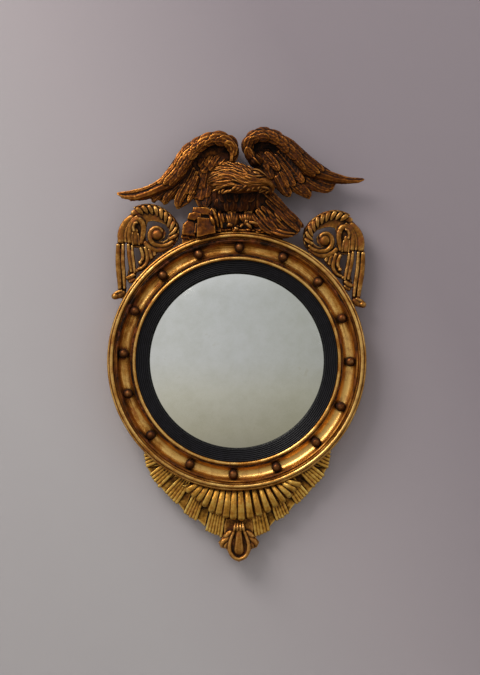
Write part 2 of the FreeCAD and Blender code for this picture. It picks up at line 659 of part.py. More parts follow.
def eagle_tail():
    """The fanned tail, swept down to the right scroll."""
    front = CREST_FRONT_Y - TAIL_THICKNESS
    half = BODY_HALF_WIDTH
    outline = [(half, 94), (70, 90), (97, 79), (115, 57), (132, 39), (148, 21), (143, 4), (136, -3),
               (114, -12), (104, -13), (75, -6), (52, 10), (half, 40)]
    return clear_of_ring(board(outline, crest_point, CREST_FRONT_Y - SEAT_GAP, front))


def leg(hip_x, hip_half, ankle, toes):
    """A feathered leg from the body down to an ankle, with its toes on the rock."""
    back = CREST_FRONT_Y - SEAT_GAP
    near = back - LEG_THICKNESS
    middle_y = (back + near) / 2
    stations = ((BODY_FOOT, hip_x, hip_half, 1.0),
                (BODY_FOOT - 18, (hip_x + ankle[0]) / 2, 0.8 * hip_half, 0.85),
                (ankle[1], ankle[0], 0.4 * hip_half, 0.5))
    sections = []
    for z, x, half, share in stations:
        front = back + (near - back) * share
        corners = ((-0.6, back), (-1.0, middle_y), (-0.6, front), (0.6, front), (1.0, middle_y), (0.6, back))
        sections.append([crest_point(x + wide * half, z, y) for wide, y in corners])
    pieces = [lofted(sections)]
    start = crest_point(ankle[0], ankle[1] + 3, middle_y)
    for x, z in toes:
        pieces.append(rod(start, crest_point(x, z, middle_y - 6), 4.6, 2.4))
    return clear_of_ring(joined(pieces))


def left_leg():
    """The leg at the middle of the crest."""
    return leg(-12, 15, (-9, 14), ((-22, 15), (-8, 8), (3, 11)))


def right_leg():
    """The leg in the shadow of the breast."""
    return leg(26, 14, (20, 22), ((7, 13), (33, 9), (48, 15)))


# ---- scrolls ----
VOLUTE = (25.0, 79.5)
VOLUTE_BOSS_RADIUS = 11.0
VOLUTE_BOSS_RING_RADIUS = 17.0
LOBE_COUNT = 11
LOBE_FIRST_DEGREES = -47.0
LOBE_LAST_DEGREES = 88.0
LOBE_FIRST_RADIUS = 71.0
LOBE_LAST_RADIUS = 45.0
LOBE_LENGTH = 17.0
LOBE_RADIUS = 6.4
SCROLL_JOINT = 57.0


def scroll_front_y():
    """Depth of a scroll board's face."""
    return -SCROLL_BACK - SCROLL_THICKNESS


def left_scroll():
    """The left volute with its lobed band, pierced under the band."""
    face_y = scroll_front_y()
    back_y = -SCROLL_BACK
    outline = [
        (-67, SCROLL_JOINT), (-66, 67), (-65, 86), (-61, 101), (-54, 112), (-45, 124), (-34, 132),
        (-24, 143), (-8, 149), (6, 153), (23, 149), (38, 143.5), (53.5, 133.5), (66, 121), (75, 107),
        (77, 93.5), (76, 79), (72, 67), (64, 57), (52, 51), (41, 46), (41, SCROLL_JOINT),
    ]
    plate = board(outline, scroll_point, back_y, face_y)
    hole = board([(7, 107), (26, 110), (41, 107), (52, 99.5), (54, 89), (50.5, 78), (46, 80),
                  (44, 88), (38, 95), (25, 99), (12, 99)], scroll_point, 0, 3 * face_y)
    pieces = [plate.cut(hole)]
    for index in range(LOBE_COUNT):
        share = index / (LOBE_COUNT - 1)
        angle = math.radians(LOBE_FIRST_DEGREES + share * (LOBE_LAST_DEGREES - LOBE_FIRST_DEGREES))
        far = LOBE_FIRST_RADIUS + share * (LOBE_LAST_RADIUS - LOBE_FIRST_RADIUS)
        ends = []
        for radius in (far, far - LOBE_LENGTH):
            x = VOLUTE[0] + radius * math.sin(angle)
            z = VOLUTE[1] + radius * math.cos(angle)
            ends.append(scroll_point(x, z, face_y))
        pieces.append(rod(ends[0], ends[1], 0.75 * LOBE_RADIUS, LOBE_RADIUS))
    for radius, relief in ((VOLUTE_BOSS_RING_RADIUS, 0.5), (VOLUTE_BOSS_RADIUS, 1.0)):
        start = scroll_point(VOLUTE[0], VOLUTE[1], back_y)
        end = scroll_point(VOLUTE[0], VOLUTE[1], face_y - relief * SCROLL_RELIEF)
        pieces.append(rod(start, end, radius))
    return clear_of_ring(joined(pieces))


def left_reeds():
    """The two pairs of reeds and the tendrils that fall from the left volute."""
    face_y = scroll_front_y()
    back_y = -SCROLL_BACK
    top = SCROLL_JOINT
    strips = (
        [(-67, top), (-69.5, 25), (-69, -14), (-66.5, -45), (-72, -52), (-78, -60), (-73, -68),
         (-65, -70.5), (-56, -66.5), (-50, -58), (-45, -44), (-44, -29), (-51, -29), (-52, 10),
         (-50, top)],
        [(-50, top), (-44, 50), (-38, -8), (-46, -20), (-44, -31), (-30, -36), (-20, -22), (-24, -6),
         (-30, 20), (-32, 44), (-18, 50), (-8, top)],
        [(-18, top), (-18, 44), (-12, 22), (-8, 12), (-2, 14), (-4, 24), (-8, 44), (-8, top)],
        [(-8, top), (-6, 40), (-1, 18), (6, 12), (10, 22), (20, 20), (26, 36), (20, 46), (41, 48),
         (41, top)],
    )
    pieces = [board(strip, scroll_point, back_y, face_y) for strip in strips]
    pieces.append(board([(-67, top), (-66, 48), (41, 48), (41, top)], scroll_point, back_y, face_y))
    for upper, lower, radius in (((-62, 50), (-63, -42), 4.6), ((-53, 50), (-55, -42), 3.6),
                                 ((-41, 50), (-36, -10), 3.6), ((-34, 46), (-28, -16), 3.4)):
        start = scroll_point(upper[0], upper[1], face_y)
        pieces.append(rod(start, scroll_point(lower[0], lower[1], face_y), radius))
    return clear_of_ring(joined(pieces))


def to_right(shape):
    """A left piece mirrored to the right and turned to where the right scroll stands."""
    other = shape.mirror(Vector(0, 0, 0), Vector(1, 0, 0))
    other.rotate(Vector(0, 0, 0), ALONG_Y, RIGHT_SCROLL_TURN)
    return other


def scroll_dowel_places():
    """Middles and directions of the radial dowels between the ring and each scroll."""
    y = -SCROLL_BACK - SCROLL_THICKNESS * 0.75
    places = []
    for degrees in (-30.6, -60.8):
        places.append(degrees)
        places.append(RIGHT_SCROLL_TURN - degrees)
    return [(on_circle(RING_RADIUS, degrees, y), on_circle(1.0, degrees)) for degrees in places]


# ---- apron ----
def apron_board():
    """The pine board behind the apron's rays and fan."""
    outline = [(-197, 70), (-201, 60), (-172, 10), (-138, -24), (-98, -62), (-46, -100), (-14, -112),
               (-2, -146), (12, -146), (24, -112), (52, -100), (95, -62), (135, -28), (170, 10),
               (204, 58), (198, 70)]
    return clear_of_ring(board(outline, apron_point, ORNAMENT_BACK_Y, APRON_FRONT_Y))


def ray(root, end, root_half, end_half, rise):
    """One ridged ray lying on the board."""
    along = Vector(end[0] - root[0], 0, end[1] - root[1]).normalize()
    side = Vector(along.z, 0, -along.x)
    base = APRON_FRONT_Y
    sections = []
    for (x, z), half, height in ((root, root_half, rise), (end, end_half, 0.6 * rise)):
        foot = apron_point(x, z, base)
        profile = ((-half, 0.0), (-half, 0.35), (0.0, 1.0), (half, 0.35), (half, 0.0))
        sections.append([foot.add(side * wide).add(FORWARD * (height * up)) for wide, up in profile])
    return lofted(sections)


# Ray ends from the ring outwards to the drop, with each ray's half width and a mark for the proud ones.
LEFT_RAYS = (
    ((-206, 56), 17, True), ((-194, 29), 16, False), ((-179, 3), 16, True), ((-163, -20), 14, False),
    ((-143, -37), 15, True), ((-125, -58), 13, False), ((-101, -77), 15, True), ((-78, -94), 14, False),
    ((-47, -112), 17, True),
)
RIGHT_RAYS = (
    ((207, 53), 17, True), ((194, 26), 16, False), ((176, 3), 16, True), ((161, -21), 14, False),
    ((140, -40), 15, True), ((121, -59), 13, False), ((97, -77), 15, True), ((78, -94), 14, False),
    ((54, -111), 17, True),
)
RAY_ROOT_SHARE = 0.42


def rays(ends):
    """A side's rays, proud and low in turn, fanned out from under the ring."""
    pieces = []
    for end, half, proud in ends:
        root = (end[0] * RAY_ROOT_SHARE, 60 + (end[1] - 60) * RAY_ROOT_SHARE)
        rise = RAY_RISE if proud else LOW_RAY_RISE
        pieces.append(ray(root, end, 0.8 * half, half, rise))
    return joined(pieces)


def side_of_middle(shape, side):
    """The part of a shape on one side of the plane x = 0."""
    reach = FRAME_DIAMETER
    corner = Vector(0 if side > 0 else -reach, -reach, -2 * reach)
    return shape.common(Part.makeBox(reach, 2 * reach, 4 * reach, corner))


# Tips of the fan's rounded fingers, from left to right.
FAN_TIPS = ((-116, -6), (-102, -18), (-89, -28), (-75, -41), (-59, -55), (-42, -61), (-25, -67.5),
            (-8, -71.5), (11, -74), (31, -70), (52, -63.5), (72, -54), (90, -42), (108, -31),
            (123, -19), (134, -4), (146, 8))
FAN_ROOT_SHARE = 0.62
FAN_ROOT_Z = 46.0


def apron_fan():
    """The fan of rounded fingers under the ring, in front of the rays."""
    back = APRON_FRONT_Y - RAY_RISE - SEAT_GAP
    middle_y = back - FAN_FINGER_RADIUS
    fingers = []
    for x, z in FAN_TIPS:
        root = apron_point(x * FAN_ROOT_SHARE, FAN_ROOT_Z + (z - FAN_ROOT_Z) * 0.3, middle_y)
        tip = apron_point(x, z + FAN_FINGER_RADIUS, middle_y)
        fingers.append(rod(root, tip, 0.8 * FAN_FINGER_RADIUS, FAN_FINGER_RADIUS))
        fingers.append(Part.makeSphere(FAN_FINGER_RADIUS, tip))
    rim = [(-106, 6), (-98, -10), (-56, -44), (-8, -60), (10, -62), (52, -50), (100, -22), (132, 8)]
    panel = board(rim + [(110, 40), (-90, 40)], apron_point, back, middle_y)
    return clear_of_ring(joined([panel] + fingers))


def apron_drop():
    """The teardrop at the foot of the apron with a leaf on each side."""
    back = APRON_FRONT_Y - RAY_RISE - SEAT_GAP
    front = back - DROP_THICKNESS / 2
    drop = [(5, -76), (-8, -84), (-14, -100), (-18, -120), (-18, -135), (-12, -148), (0, -158), (5, -165),
            (10, -158), (22, -148), (28, -135), (28, -120), (24, -100), (16, -84)]
    tongue = [(5, -92), (-6, -110), (-8, -130), (0, -146), (10, -146), (18, -130), (16, -110)]
    left_leaf = [(-10, -82), (-24, -98), (-36, -106), (-42, -118), (-34, -132), (-24, -140), (-12, -128)]
    right_leaf = [(18, -82), (34, -98), (44, -108), (49, -120), (42, -134), (32, -140), (20, -128)]
    pieces = [board(drop, apron_point, back, front)]
    pieces.append(board(tongue, apron_point, back, front - DROP_THICKNESS / 5))
    for leaf in (left_leaf, right_leaf):
        pieces.append(board(leaf, apron_point, back, back - DROP_THICKNESS / 3))
    pieces.append(board([(-22, -92), (-22, -128), (0, -146), (10, -146), (32, -128), (32, -92)],
                        apron_point, APRON_FRONT_Y, back - DROP_THICKNESS / 6))
    return joined(pieces)


# ---- assembly ----
def drill(names, tools):
    """Cut the tools out of each named piece."""
    for name in names:
        SHAPES[name] = SHAPES[name].cut(tools)


def build_frame():
    """Ring, slip, glass, balls and backboards with their fixings."""
    SHAPES["frame_ring"] = front_moulding().cut([ball_socket(index) for index in range(BALL_COUNT)])
    SHAPES["back_ring"] = back_ring().cut(hanger_pocket())
    SHAPES["ebonised_slip"] = slip_section()
    SHAPES["mirror_plate"] = glass_plate()
    SHAPES["glazing_blocks"] = glazing_blocks()
    SHAPES["backboard_left"] = backboard(-1)
    SHAPES["backboard_right"] = backboard(1)
    places = backboard_screw_places()
    holes = [screw_hole(place, BOARD_SCREW_LENGTH) for place in places]
    drill(("backboard_left", "backboard_right", "ebonised_slip"), holes)
    SHAPES["backboard_screws"] = Part.makeCompound([woodscrew(place, BOARD_SCREW_LENGTH) for place in places])
    for index in range(BALL_COUNT):
        SHAPES["ball_%02d" % (index + 1)] = ball(index)


def build_crest():
    """The eagle, the block and rocks it stands on, and their dowels."""
    SHAPES["crest_block"] = crest_block()
    SHAPES["rockwork"] = rockwork()
    SHAPES["eagle_body"] = eagle_body()
    SHAPES["eagle_head"] = eagle_head()
    SHAPES["left_wing"] = left_wing()
    SHAPES["right_wing"] = right_wing()
    SHAPES["eagle_tail"] = eagle_tail()
    SHAPES["left_leg"] = left_leg()
    SHAPES["right_leg"] = right_leg()
    web_y = (WING_BACK_Y + WEB_FRONT_Y) / 2
    sideways = Vector(1, 0, 0)
    wing_joints = [crest_point(side * BODY_HALF_WIDTH, height, web_y)
                   for side in (-1, 1) for height in (106, 130)]
    head_joint = crest_point(4, 118, BODY_FRONT_Y)
    tail_joint = crest_point(BODY_HALF_WIDTH, 66, CREST_FRONT_Y - TAIL_THICKNESS / 2)
    SHAPES["wing_dowels"] = Part.makeCompound([dowel(place, sideways) for place in wing_joints])
    SHAPES["head_dowel"] = dowel(head_joint, ALONG_Y)
    SHAPES["tail_dowel"] = dowel(tail_joint, sideways)
    drill(("eagle_body", "left_wing", "right_wing"), [dowel_hole(place, sideways) for place in wing_joints])
    drill(("eagle_body", "eagle_head"), [dowel_hole(head_joint, ALONG_Y)])
    drill(("eagle_body", "eagle_tail"), [dowel_hole(tail_joint, sideways)])


def build_scrolls():
    """Both scrolls with their reeds, and the dowels into the ring's edge."""
    SHAPES["left_scroll"] = left_scroll()
    SHAPES["left_reeds"] = left_reeds()
    SHAPES["right_scroll"] = to_right(SHAPES["left_scroll"])
    SHAPES["right_reeds"] = to_right(SHAPES["left_reeds"])
    scribed = (("left_scroll", "rockwork"), ("right_scroll", "eagle_tail"), ("right_scroll", "right_wing"))
    for scroll, neighbour in scribed:
        drill((scroll,), [SHAPES[neighbour]])
    places = scroll_dowel_places()
    holes = [dowel_hole(middle, direction) for middle, direction in places]
    drill(("frame_ring", "left_scroll", "left_reeds", "right_scroll", "right_reeds"), holes)
    SHAPES["scroll_dowels"] = Part.makeCompound([dowel(middle, direction) for middle, direction in places])


def build_apron():
    """The board, the rays on it, the fan and the drop."""
    SHAPES["apron_board"] = apron_board()
    SHAPES["apron_rays_left"] = clear_of_ring(side_of_middle(rays(LEFT_RAYS), -1))
    SHAPES["apron_rays_right"] = clear_of_ring(side_of_middle(rays(RIGHT_RAYS), 1))
    SHAPES["apron_fan"] = apron_fan()
    drop = apron_drop()
    SHAPES["apron_drop"] = drop
    for name in ("apron_rays_left", "apron_rays_right"):
        SHAPES[name] = SHAPES[name].cut(drop)


def build_fixings():
    """The straps, their screws and the hanger."""
    screws = []
    for name, x, up in all_straps():
        places = strap_screw_places(x, up)
        holes = [screw_hole(place, STRAP_SCREW_LENGTH) for place in places]
        SHAPES[name] = strap_box(x, up, 0.0).cut(holes)
        ornament = "crest_block" if up > 0 else "apron_board"
        drill(("back_ring", ornament), [strap_box(x, up, SEAT_GAP)] + holes)
        screws += [woodscrew(place, STRAP_SCREW_LENGTH) for place in places]
    SHAPES["strap_screws"] = Part.makeCompound(screws)
    places = hanger_screw_places()
    drill(("back_ring",), [screw_hole(place, HANGER_SCREW_LENGTH) for place in places])
    SHAPES["hanger_plate"] = hanger_plate()
    SHAPES["hanging_ring"] = hanging_ring()
    SHAPES["hanger_screws"] = Part.makeCompound([woodscrew(place, HANGER_SCREW_LENGTH) for place in places])


def write_parts():
    """One STEP file per piece."""
    os.makedirs("parts", exist_ok=True)
    for name, shape in SHAPES.items():
        solids = shape.Solids
        if not solids or not shape.isValid():
            print("FAULT", name, "solids", len(solids), "valid", shape.isValid())
        box = shape.BoundBox
        print("%-18s solids %2d volume %9.0f  x %7.1f %7.1f  y %6.1f %6.1f  z %7.1f %7.1f" % (
            name, len(solids), shape.Volume, box.XMin, box.XMax, box.YMin, box.YMax, box.ZMin, box.ZMax))
        whole = solids[0] if len(solids) == 1 else Part.makeCompound(solids)
        whole.exportStep(os.path.join("parts", name + ".step"))


build_frame()
build_crest()
build_scrolls()
build_apron()
build_fixings()
write_parts()
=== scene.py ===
import math

import bpy
import numpy as np
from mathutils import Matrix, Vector, noise
from mathutils.bvhtree import BVHTree


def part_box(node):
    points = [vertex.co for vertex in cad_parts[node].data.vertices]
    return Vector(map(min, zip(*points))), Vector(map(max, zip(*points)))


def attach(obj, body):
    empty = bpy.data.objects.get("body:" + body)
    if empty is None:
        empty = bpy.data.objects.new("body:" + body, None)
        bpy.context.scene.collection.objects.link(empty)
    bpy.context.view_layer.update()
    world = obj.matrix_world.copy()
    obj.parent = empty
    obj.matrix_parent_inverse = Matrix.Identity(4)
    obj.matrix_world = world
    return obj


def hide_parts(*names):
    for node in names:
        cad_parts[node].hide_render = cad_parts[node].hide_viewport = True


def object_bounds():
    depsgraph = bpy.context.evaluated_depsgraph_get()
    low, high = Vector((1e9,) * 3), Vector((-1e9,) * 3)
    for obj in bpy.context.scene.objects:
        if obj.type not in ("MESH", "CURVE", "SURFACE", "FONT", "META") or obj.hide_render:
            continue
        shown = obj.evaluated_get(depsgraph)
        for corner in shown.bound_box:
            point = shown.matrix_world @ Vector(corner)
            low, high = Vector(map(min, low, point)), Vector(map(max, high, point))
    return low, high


bl_info = {
    "name": "Girandole Mirror",
    "version": (1, 0, 0),
    "blender": (4, 5, 0),
    "location": "View3D > Sidebar > Mirror",
    "description": "A round convex wall mirror in a carved and gilt frame",
    "category": "Add Mesh",
}

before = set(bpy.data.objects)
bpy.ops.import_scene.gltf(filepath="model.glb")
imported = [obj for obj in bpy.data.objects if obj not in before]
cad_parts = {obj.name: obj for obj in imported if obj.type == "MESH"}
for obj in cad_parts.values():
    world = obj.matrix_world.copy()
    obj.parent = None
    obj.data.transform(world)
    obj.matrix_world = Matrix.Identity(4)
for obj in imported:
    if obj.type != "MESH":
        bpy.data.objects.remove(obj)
CAD_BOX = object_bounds()
MM = 0.001
BODY = "mirror"
FORWARD = (0.0, -1.0, 0.0)
BALL_COUNT = 16
# The lengths below are in millimetres.
# Depth of the plane where the ring and the carvings meet what is behind them.
JOINT_Y = -24.0
# Inner edge of the gilt ring, where the slip starts.
LIP_RADIUS = 229.0
# How far detail may stand past the real model's box, and how far it stays off the wall.
BOX_SLACK = 2.0
WALL_GAP = 0.2
# How far a bore runs past both faces of a plank.
BORE_PAST = 5.0


def hex_colour(text):
    """An sRGB hex value as linear RGBA."""
    channels = [int(text[place:place + 2], 16) / 255 for place in (0, 2, 4)]
    linear = [c / 12.92 if c <= 0.04045 else ((c + 0.055) / 1.055) ** 2.4 for c in channels]
    return (*linear, 1.0)


# ---- sizes and colours that a user would change ----
def length(name, description, millimetres):
    return bpy.props.FloatProperty(
        name=name, description=description, default=millimetres * MM, unit="LENGTH", precision=5)


def colour(name, description, text):
    return bpy.props.FloatVectorProperty(
        name=name, description=description, default=hex_colour(text), size=4, subtype="COLOR")


class TurnedSizes(bpy.types.PropertyGroup):
    """Sizes of the turned ring, the slip and the glass."""
    ring_radius: length("Ring radius", "Outer edge of the gilt ring", 292.5)
    rim_width: length("Rim bead width", "Width of the rounded outer bead", 12.5)
    groove_width: length("Groove width", "Width of the step between rim and cove", 10.0)
    cove_width: length("Cove width", "Width of the hollow that holds the balls", 29.0)
    bead_width: length("Inner bead width", "Width of the bead beside the slip", 8.0)
    slip_width: length("Slip width", "Width of the reeded black slip", 28.0)
    front_depth: length("Ring depth", "How far the rim stands from the wall", 62.0)
    plate_bulge: length("Glass bulge", "Height of the convex glass over its rim", 33.0)
    wobble: length("Hand wobble", "Depth of the unevenness left by hand work", 0.22)


class CarvingSizes(bpy.types.PropertyGroup):
    """Sizes of the carver's cuts."""
    grain: length("Finest cut", "Cell size of the carved skins", 1.05)
    barb_pitch: length("Barb pitch", "Spacing of the slanted cuts, measured along a feather", 10.5)
    barb_depth: length("Barb depth", "Depth of the slanted cuts on a feather", 1.25)
    quill_rise: length("Quill rise", "Height of a feather's middle rib", 1.1)
    tool_mark: length("Tool mark depth", "Depth of the chisel's uneven marks", 0.35)


class FinishColours(bpy.types.PropertyGroup):
    """Colours of the finishes."""
    ring_gold: colour("Ring gold", "Water gilding on the ring", "B47A34")
    ring_bright: colour("Ring bright gold", "Burnished leaf on the ring's high places", "E3B468")
    bole: colour("Bole", "Red clay under the gold", "8E4A2A")
    crest_gold: colour("Crest gold", "Gold on the crest's high places", "C4843A")
    crest_tone: colour("Crest tone", "Brown size and dirt over the crest's gold", "4C2810")
    apron_gold: colour("Apron gold", "Warm gold of fan and rays", "C48C3A")
    # The darkest gilding colour, reached by dirt in hollows and also by painted shade where carving shuts out
    # light.
    dirt_and_shade: colour("Dirt", "Dust and wax in the hollows", "1A0D05")
    ebony: colour("Ebonised black", "Stained and polished slip", "080609")
    pine: colour("Pine", "Old bare pine of the back", "8A6238")
    wall: colour("Wall", "The plain backdrop", "9F979B")
    floor: colour("Floor", "The plain floor", "C9C4BC")


def turned_sizes():
    return bpy.context.scene.mirror_turned


def carving_sizes():
    return bpy.context.scene.mirror_carving


def colours():
    return bpy.context.scene.mirror_colours


# ---- materials ----
def add_node(tree, kind, settings=None, inputs=None, stops=None):
    """Adds a node. Inputs maps a socket to a value or to the socket that feeds it."""
    node = tree.nodes.new(kind)
    for name, value in (settings or {}).items():
        setattr(node, name, value)
    for socket, value in (inputs or {}).items():
        if isinstance(value, bpy.types.NodeSocket):
            tree.links.new(value, node.inputs[socket])
        else:
            node.inputs[socket].default_value = value
    for index, (position, shade) in enumerate(stops or ()):
        points = node.color_ramp.elements
        point = points[index] if index < 2 else points.new(position)
        point.position = position
        point.color = shade
    return node


def new_material(name):
    """An empty material with its output node."""
    material = bpy.data.materials.new(name)
    material.use_nodes = True
    material.node_tree.nodes.clear()
    output = add_node(material.node_tree, "ShaderNodeOutputMaterial")
    return material, material.node_tree, output


def per_mm(size):
    """A noise scale whose features are about this many millimetres across."""
    return 1000.0 / size


def gilding(name, dirt_and_shade, toned, gold, bright, red=0.25, rough=0.34, lift=0.0, occlusion_shade_depth=0.5):
    """Gold leaf over red clay: rubbed bright on high places, brown and matt in dirt and painted shade.

    The attribute read here is 0.5 on the flat, more on ridges and less in hollows, and on some
    pieces it also carries painted light and shade. The leaf is painted darker as painted shade where
    the carving shuts out light from around, and wears through to the clay in patches.
    """
    material, tree, output = new_material(name)
    place = add_node(tree, "ShaderNodeTexCoord").outputs["Object"]
    wear_and_shade = add_node(tree, "ShaderNodeAttribute", {"attribute_name": "wear_and_shade"}).outputs["Fac"]
    # Painted shade: the colour darkens where nearby carving shuts out light from around.
    occlusion = add_node(tree, "ShaderNodeAmbientOcclusion", {"samples": 6}, {
        "Distance": 0.028}).outputs["AO"]
    painted_occlusion_shade = add_node(tree, "ShaderNodeMapRange", inputs={
        "Value": occlusion, "From Min": 0.15, "From Max": 0.85, "To Min": -occlusion_shade_depth, "To Max": lift})
    blotch = add_node(tree, "ShaderNodeTexNoise", inputs={
        "Vector": place, "Scale": per_mm(24), "Detail": 5.0, "Roughness": 0.62}).outputs["Fac"]
    speckle = add_node(tree, "ShaderNodeTexNoise", inputs={
        "Vector": place, "Scale": per_mm(3.4), "Detail": 4.0, "Roughness": 0.7}).outputs["Fac"]
    uneven = add_node(tree, "ShaderNodeMath", {"operation": "MULTIPLY_ADD"}, {
        0: blotch, 1: 0.8, 2: -0.4}).outputs[0]
    fine = add_node(tree, "ShaderNodeMath", {"operation": "MULTIPLY_ADD"}, {
        0: speckle, 1: 0.4, 2: -0.2}).outputs[0]
    rubbed_and_shaded = wear_and_shade
    for part in (painted_occlusion_shade.outputs[0], uneven, fine):
        rubbed_and_shaded = add_node(tree, "ShaderNodeMath", {"operation": "ADD"}, {0: rubbed_and_shaded, 1: part}).outputs[0]
    leaf = add_node(tree, "ShaderNodeValToRGB", inputs={"Fac": rubbed_and_shaded}, stops=(
        (0.18, dirt_and_shade), (0.40, toned), (0.60, gold), (0.86, bright)))
    patch = add_node(tree, "ShaderNodeTexNoise", inputs={
        "Vector": place, "Scale": per_mm(19), "Detail": 6.0, "Roughness": 0.66, "Distortion": 0.4})
    bare = add_node(tree, "ShaderNodeMapRange", inputs={
        "Value": patch.outputs["Fac"], "From Min": 0.51, "From Max": 0.66, "To Min": 0.0, "To Max": red})
    shown = add_node(tree, "ShaderNodeMix", {"data_type": "RGBA"}, {
        "Factor": bare.outputs[0], 6: leaf.outputs["Color"], 7: tuple(colours().bole)})
    shine = add_node(tree, "ShaderNodeMapRange", inputs={
        "Value": rubbed_and_shaded, "From Min": 0.25, "From Max": 0.5, "To Min": 0.1, "To Max": 1.0})
    matt = add_node(tree, "ShaderNodeMapRange", inputs={
        "Value": rubbed_and_shaded, "From Min": 0.25, "From Max": 0.8, "To Min": 0.62, "To Max": rough})
    crackle = add_node(tree, "ShaderNodeTexNoise", inputs={
        "Vector": place, "Scale": per_mm(1.6), "Detail": 3.0, "Roughness": 0.6}).outputs["Fac"]
    bump = add_node(tree, "ShaderNodeBump", inputs={
        "Strength": 0.4, "Distance": 0.0007, "Height": crackle})
    shader = add_node(tree, "ShaderNodeBsdfPrincipled", inputs={
        "Base Color": shown.outputs[2], "Metallic": shine.outputs[0], "Specular IOR Level": 0.12,
        "Roughness": matt.outputs[0], "Normal": bump.outputs[0]})
    tree.links.new(shader.outputs[0], output.inputs["Surface"])
    return material


def ebonised_wood():
    """Pear wood stained black and waxed: near black with a faint cold sheen and dust in the reeds."""
    material, tree, output = new_material("ebonised_waxed_wood")
    place = add_node(tree, "ShaderNodeTexCoord").outputs["Object"]
    dust = add_node(tree, "ShaderNodeTexNoise", inputs={
        "Vector": place, "Scale": per_mm(14), "Detail": 6.0, "Roughness": 0.65}).outputs["Fac"]
    tone = add_node(tree, "ShaderNodeValToRGB", inputs={"Fac": dust}, stops=(
        (0.35, tuple(colours().ebony)), (0.85, hex_colour("15131A"))))
    pores = add_node(tree, "ShaderNodeTexNoise", inputs={
        "Vector": place, "Scale": per_mm(1.6), "Detail": 2.0}).outputs["Fac"]
    bump = add_node(tree, "ShaderNodeBump", inputs={
        "Strength": 0.1, "Distance": 0.0002, "Height": pores})
    polish = add_node(tree, "ShaderNodeMapRange", inputs={"Value": dust, "To Min": 0.36, "To Max": 0.55})
    shader = add_node(tree, "ShaderNodeBsdfPrincipled", inputs={
        "Base Color": tone.outputs["Color"], "Roughness": polish.outputs[0],
        "Specular IOR Level": 0.22, "Normal": bump.outputs[0]})
    tree.links.new(shader.outputs[0], output.inputs["Surface"])
    return material


def silvered_glass():
    """Blown plate silvered with tin: a soft bright mirror, a little grey, foxed in patches."""
    material, tree, output = new_material("tin_silvered_glass")
    place = add_node(tree, "ShaderNodeTexCoord").outputs["Object"]
    fox = add_node(tree, "ShaderNodeTexNoise", inputs={
        "Vector": place, "Scale": per_mm(34), "Detail": 7.0, "Roughness": 0.7}).outputs["Fac"]
    tint = add_node(tree, "ShaderNodeValToRGB", inputs={"Fac": fox}, stops=(
        (0.3, hex_colour("D9D9D2")), (0.62, hex_colour("E2E2DE")), (0.8, hex_colour("D2CFC2"))))
    haze = add_node(tree, "ShaderNodeMapRange", inputs={"Value": fox, "To Min": 0.04, "To Max": 0.13})
    shader = add_node(tree, "ShaderNodeBsdfPrincipled", inputs={
        "Base Color": tint.outputs["Color"], "Metallic": 1.0, "Roughness": haze.outputs[0]})
    tree.links.new(shader.outputs[0], output.inputs["Surface"])
    return material


def planed_pine():
    """Bare pine, planed and browned by two centuries: straight grain lines and a dusty matt face."""
    material, tree, output = new_material("planed_pine")
    place = add_node(tree, "ShaderNodeTexCoord").outputs["Object"]
    stretch = add_node(tree, "ShaderNodeMapping", inputs={
        "Vector": place, "Rotation": (0.0, 0.06, 0.0), "Scale": (1.0, 1.0, 0.09)}).outputs[0]
    rings = add_node(tree, "ShaderNodeTexNoise", inputs={
        "Vector": stretch, "Scale": per_mm(7), "Detail": 6.0, "Roughness": 0.55, "Distortion": 0.6})
    age = add_node(tree, "ShaderNodeTexNoise", inputs={
        "Vector": place, "Scale": per_mm(90), "Detail": 4.0}).outputs["Fac"]
    mixed = add_node(tree, "ShaderNodeMath", {"operation": "MULTIPLY_ADD"}, {
        0: age, 1: 0.5, 2: rings.outputs["Fac"]}).outputs[0]
    tone = add_node(tree, "ShaderNodeValToRGB", inputs={"Fac": mixed}, stops=(
        (0.42, hex_colour("4A3018")), (0.62, hex_colour("6B4926")), (0.78, tuple(colours().pine)),
        (1.0, hex_colour("A27B4C"))))
    bump = add_node(tree, "ShaderNodeBump", inputs={
        "Strength": 0.35, "Distance": 0.0005, "Height": rings.outputs["Fac"]})
    shader = add_node(tree, "ShaderNodeBsdfPrincipled", inputs={
        "Base Color": tone.outputs["Color"], "Roughness": 0.72, "Normal": bump.outputs[0]})
    tree.links.new(shader.outputs[0], output.inputs["Surface"])
    return material


def worked_metal(name, dark, light, metal, rough, grain):
    """A worked metal: dull film and small marks, brighter where it has been rubbed."""
    material, tree, output = new_material(name)
    place = add_node(tree, "ShaderNodeTexCoord").outputs["Object"]
    film = add_node(tree, "ShaderNodeTexNoise", inputs={
        "Vector": place, "Scale": per_mm(grain), "Detail": 6.0, "Roughness": 0.68}).outputs["Fac"]
    tone = add_node(tree, "ShaderNodeValToRGB", inputs={"Fac": film}, stops=(
        (0.38, hex_colour(dark)), (0.62, hex_colour(light))))
    matt = add_node(tree, "ShaderNodeMapRange", inputs={
        "Value": film, "To Min": rough + 0.15, "To Max": rough - 0.1})
    bump = add_node(tree, "ShaderNodeBump", inputs={
        "Strength": 0.3, "Distance": 0.0003, "Height": film})
    shader = add_node(tree, "ShaderNodeBsdfPrincipled", inputs={
        "Base Color": tone.outputs["Color"], "Metallic": metal, "Roughness": matt.outputs[0],
        "Normal": bump.outputs[0]})
    tree.links.new(shader.outputs[0], output.inputs["Surface"])
    return material


MATERIALS = {}


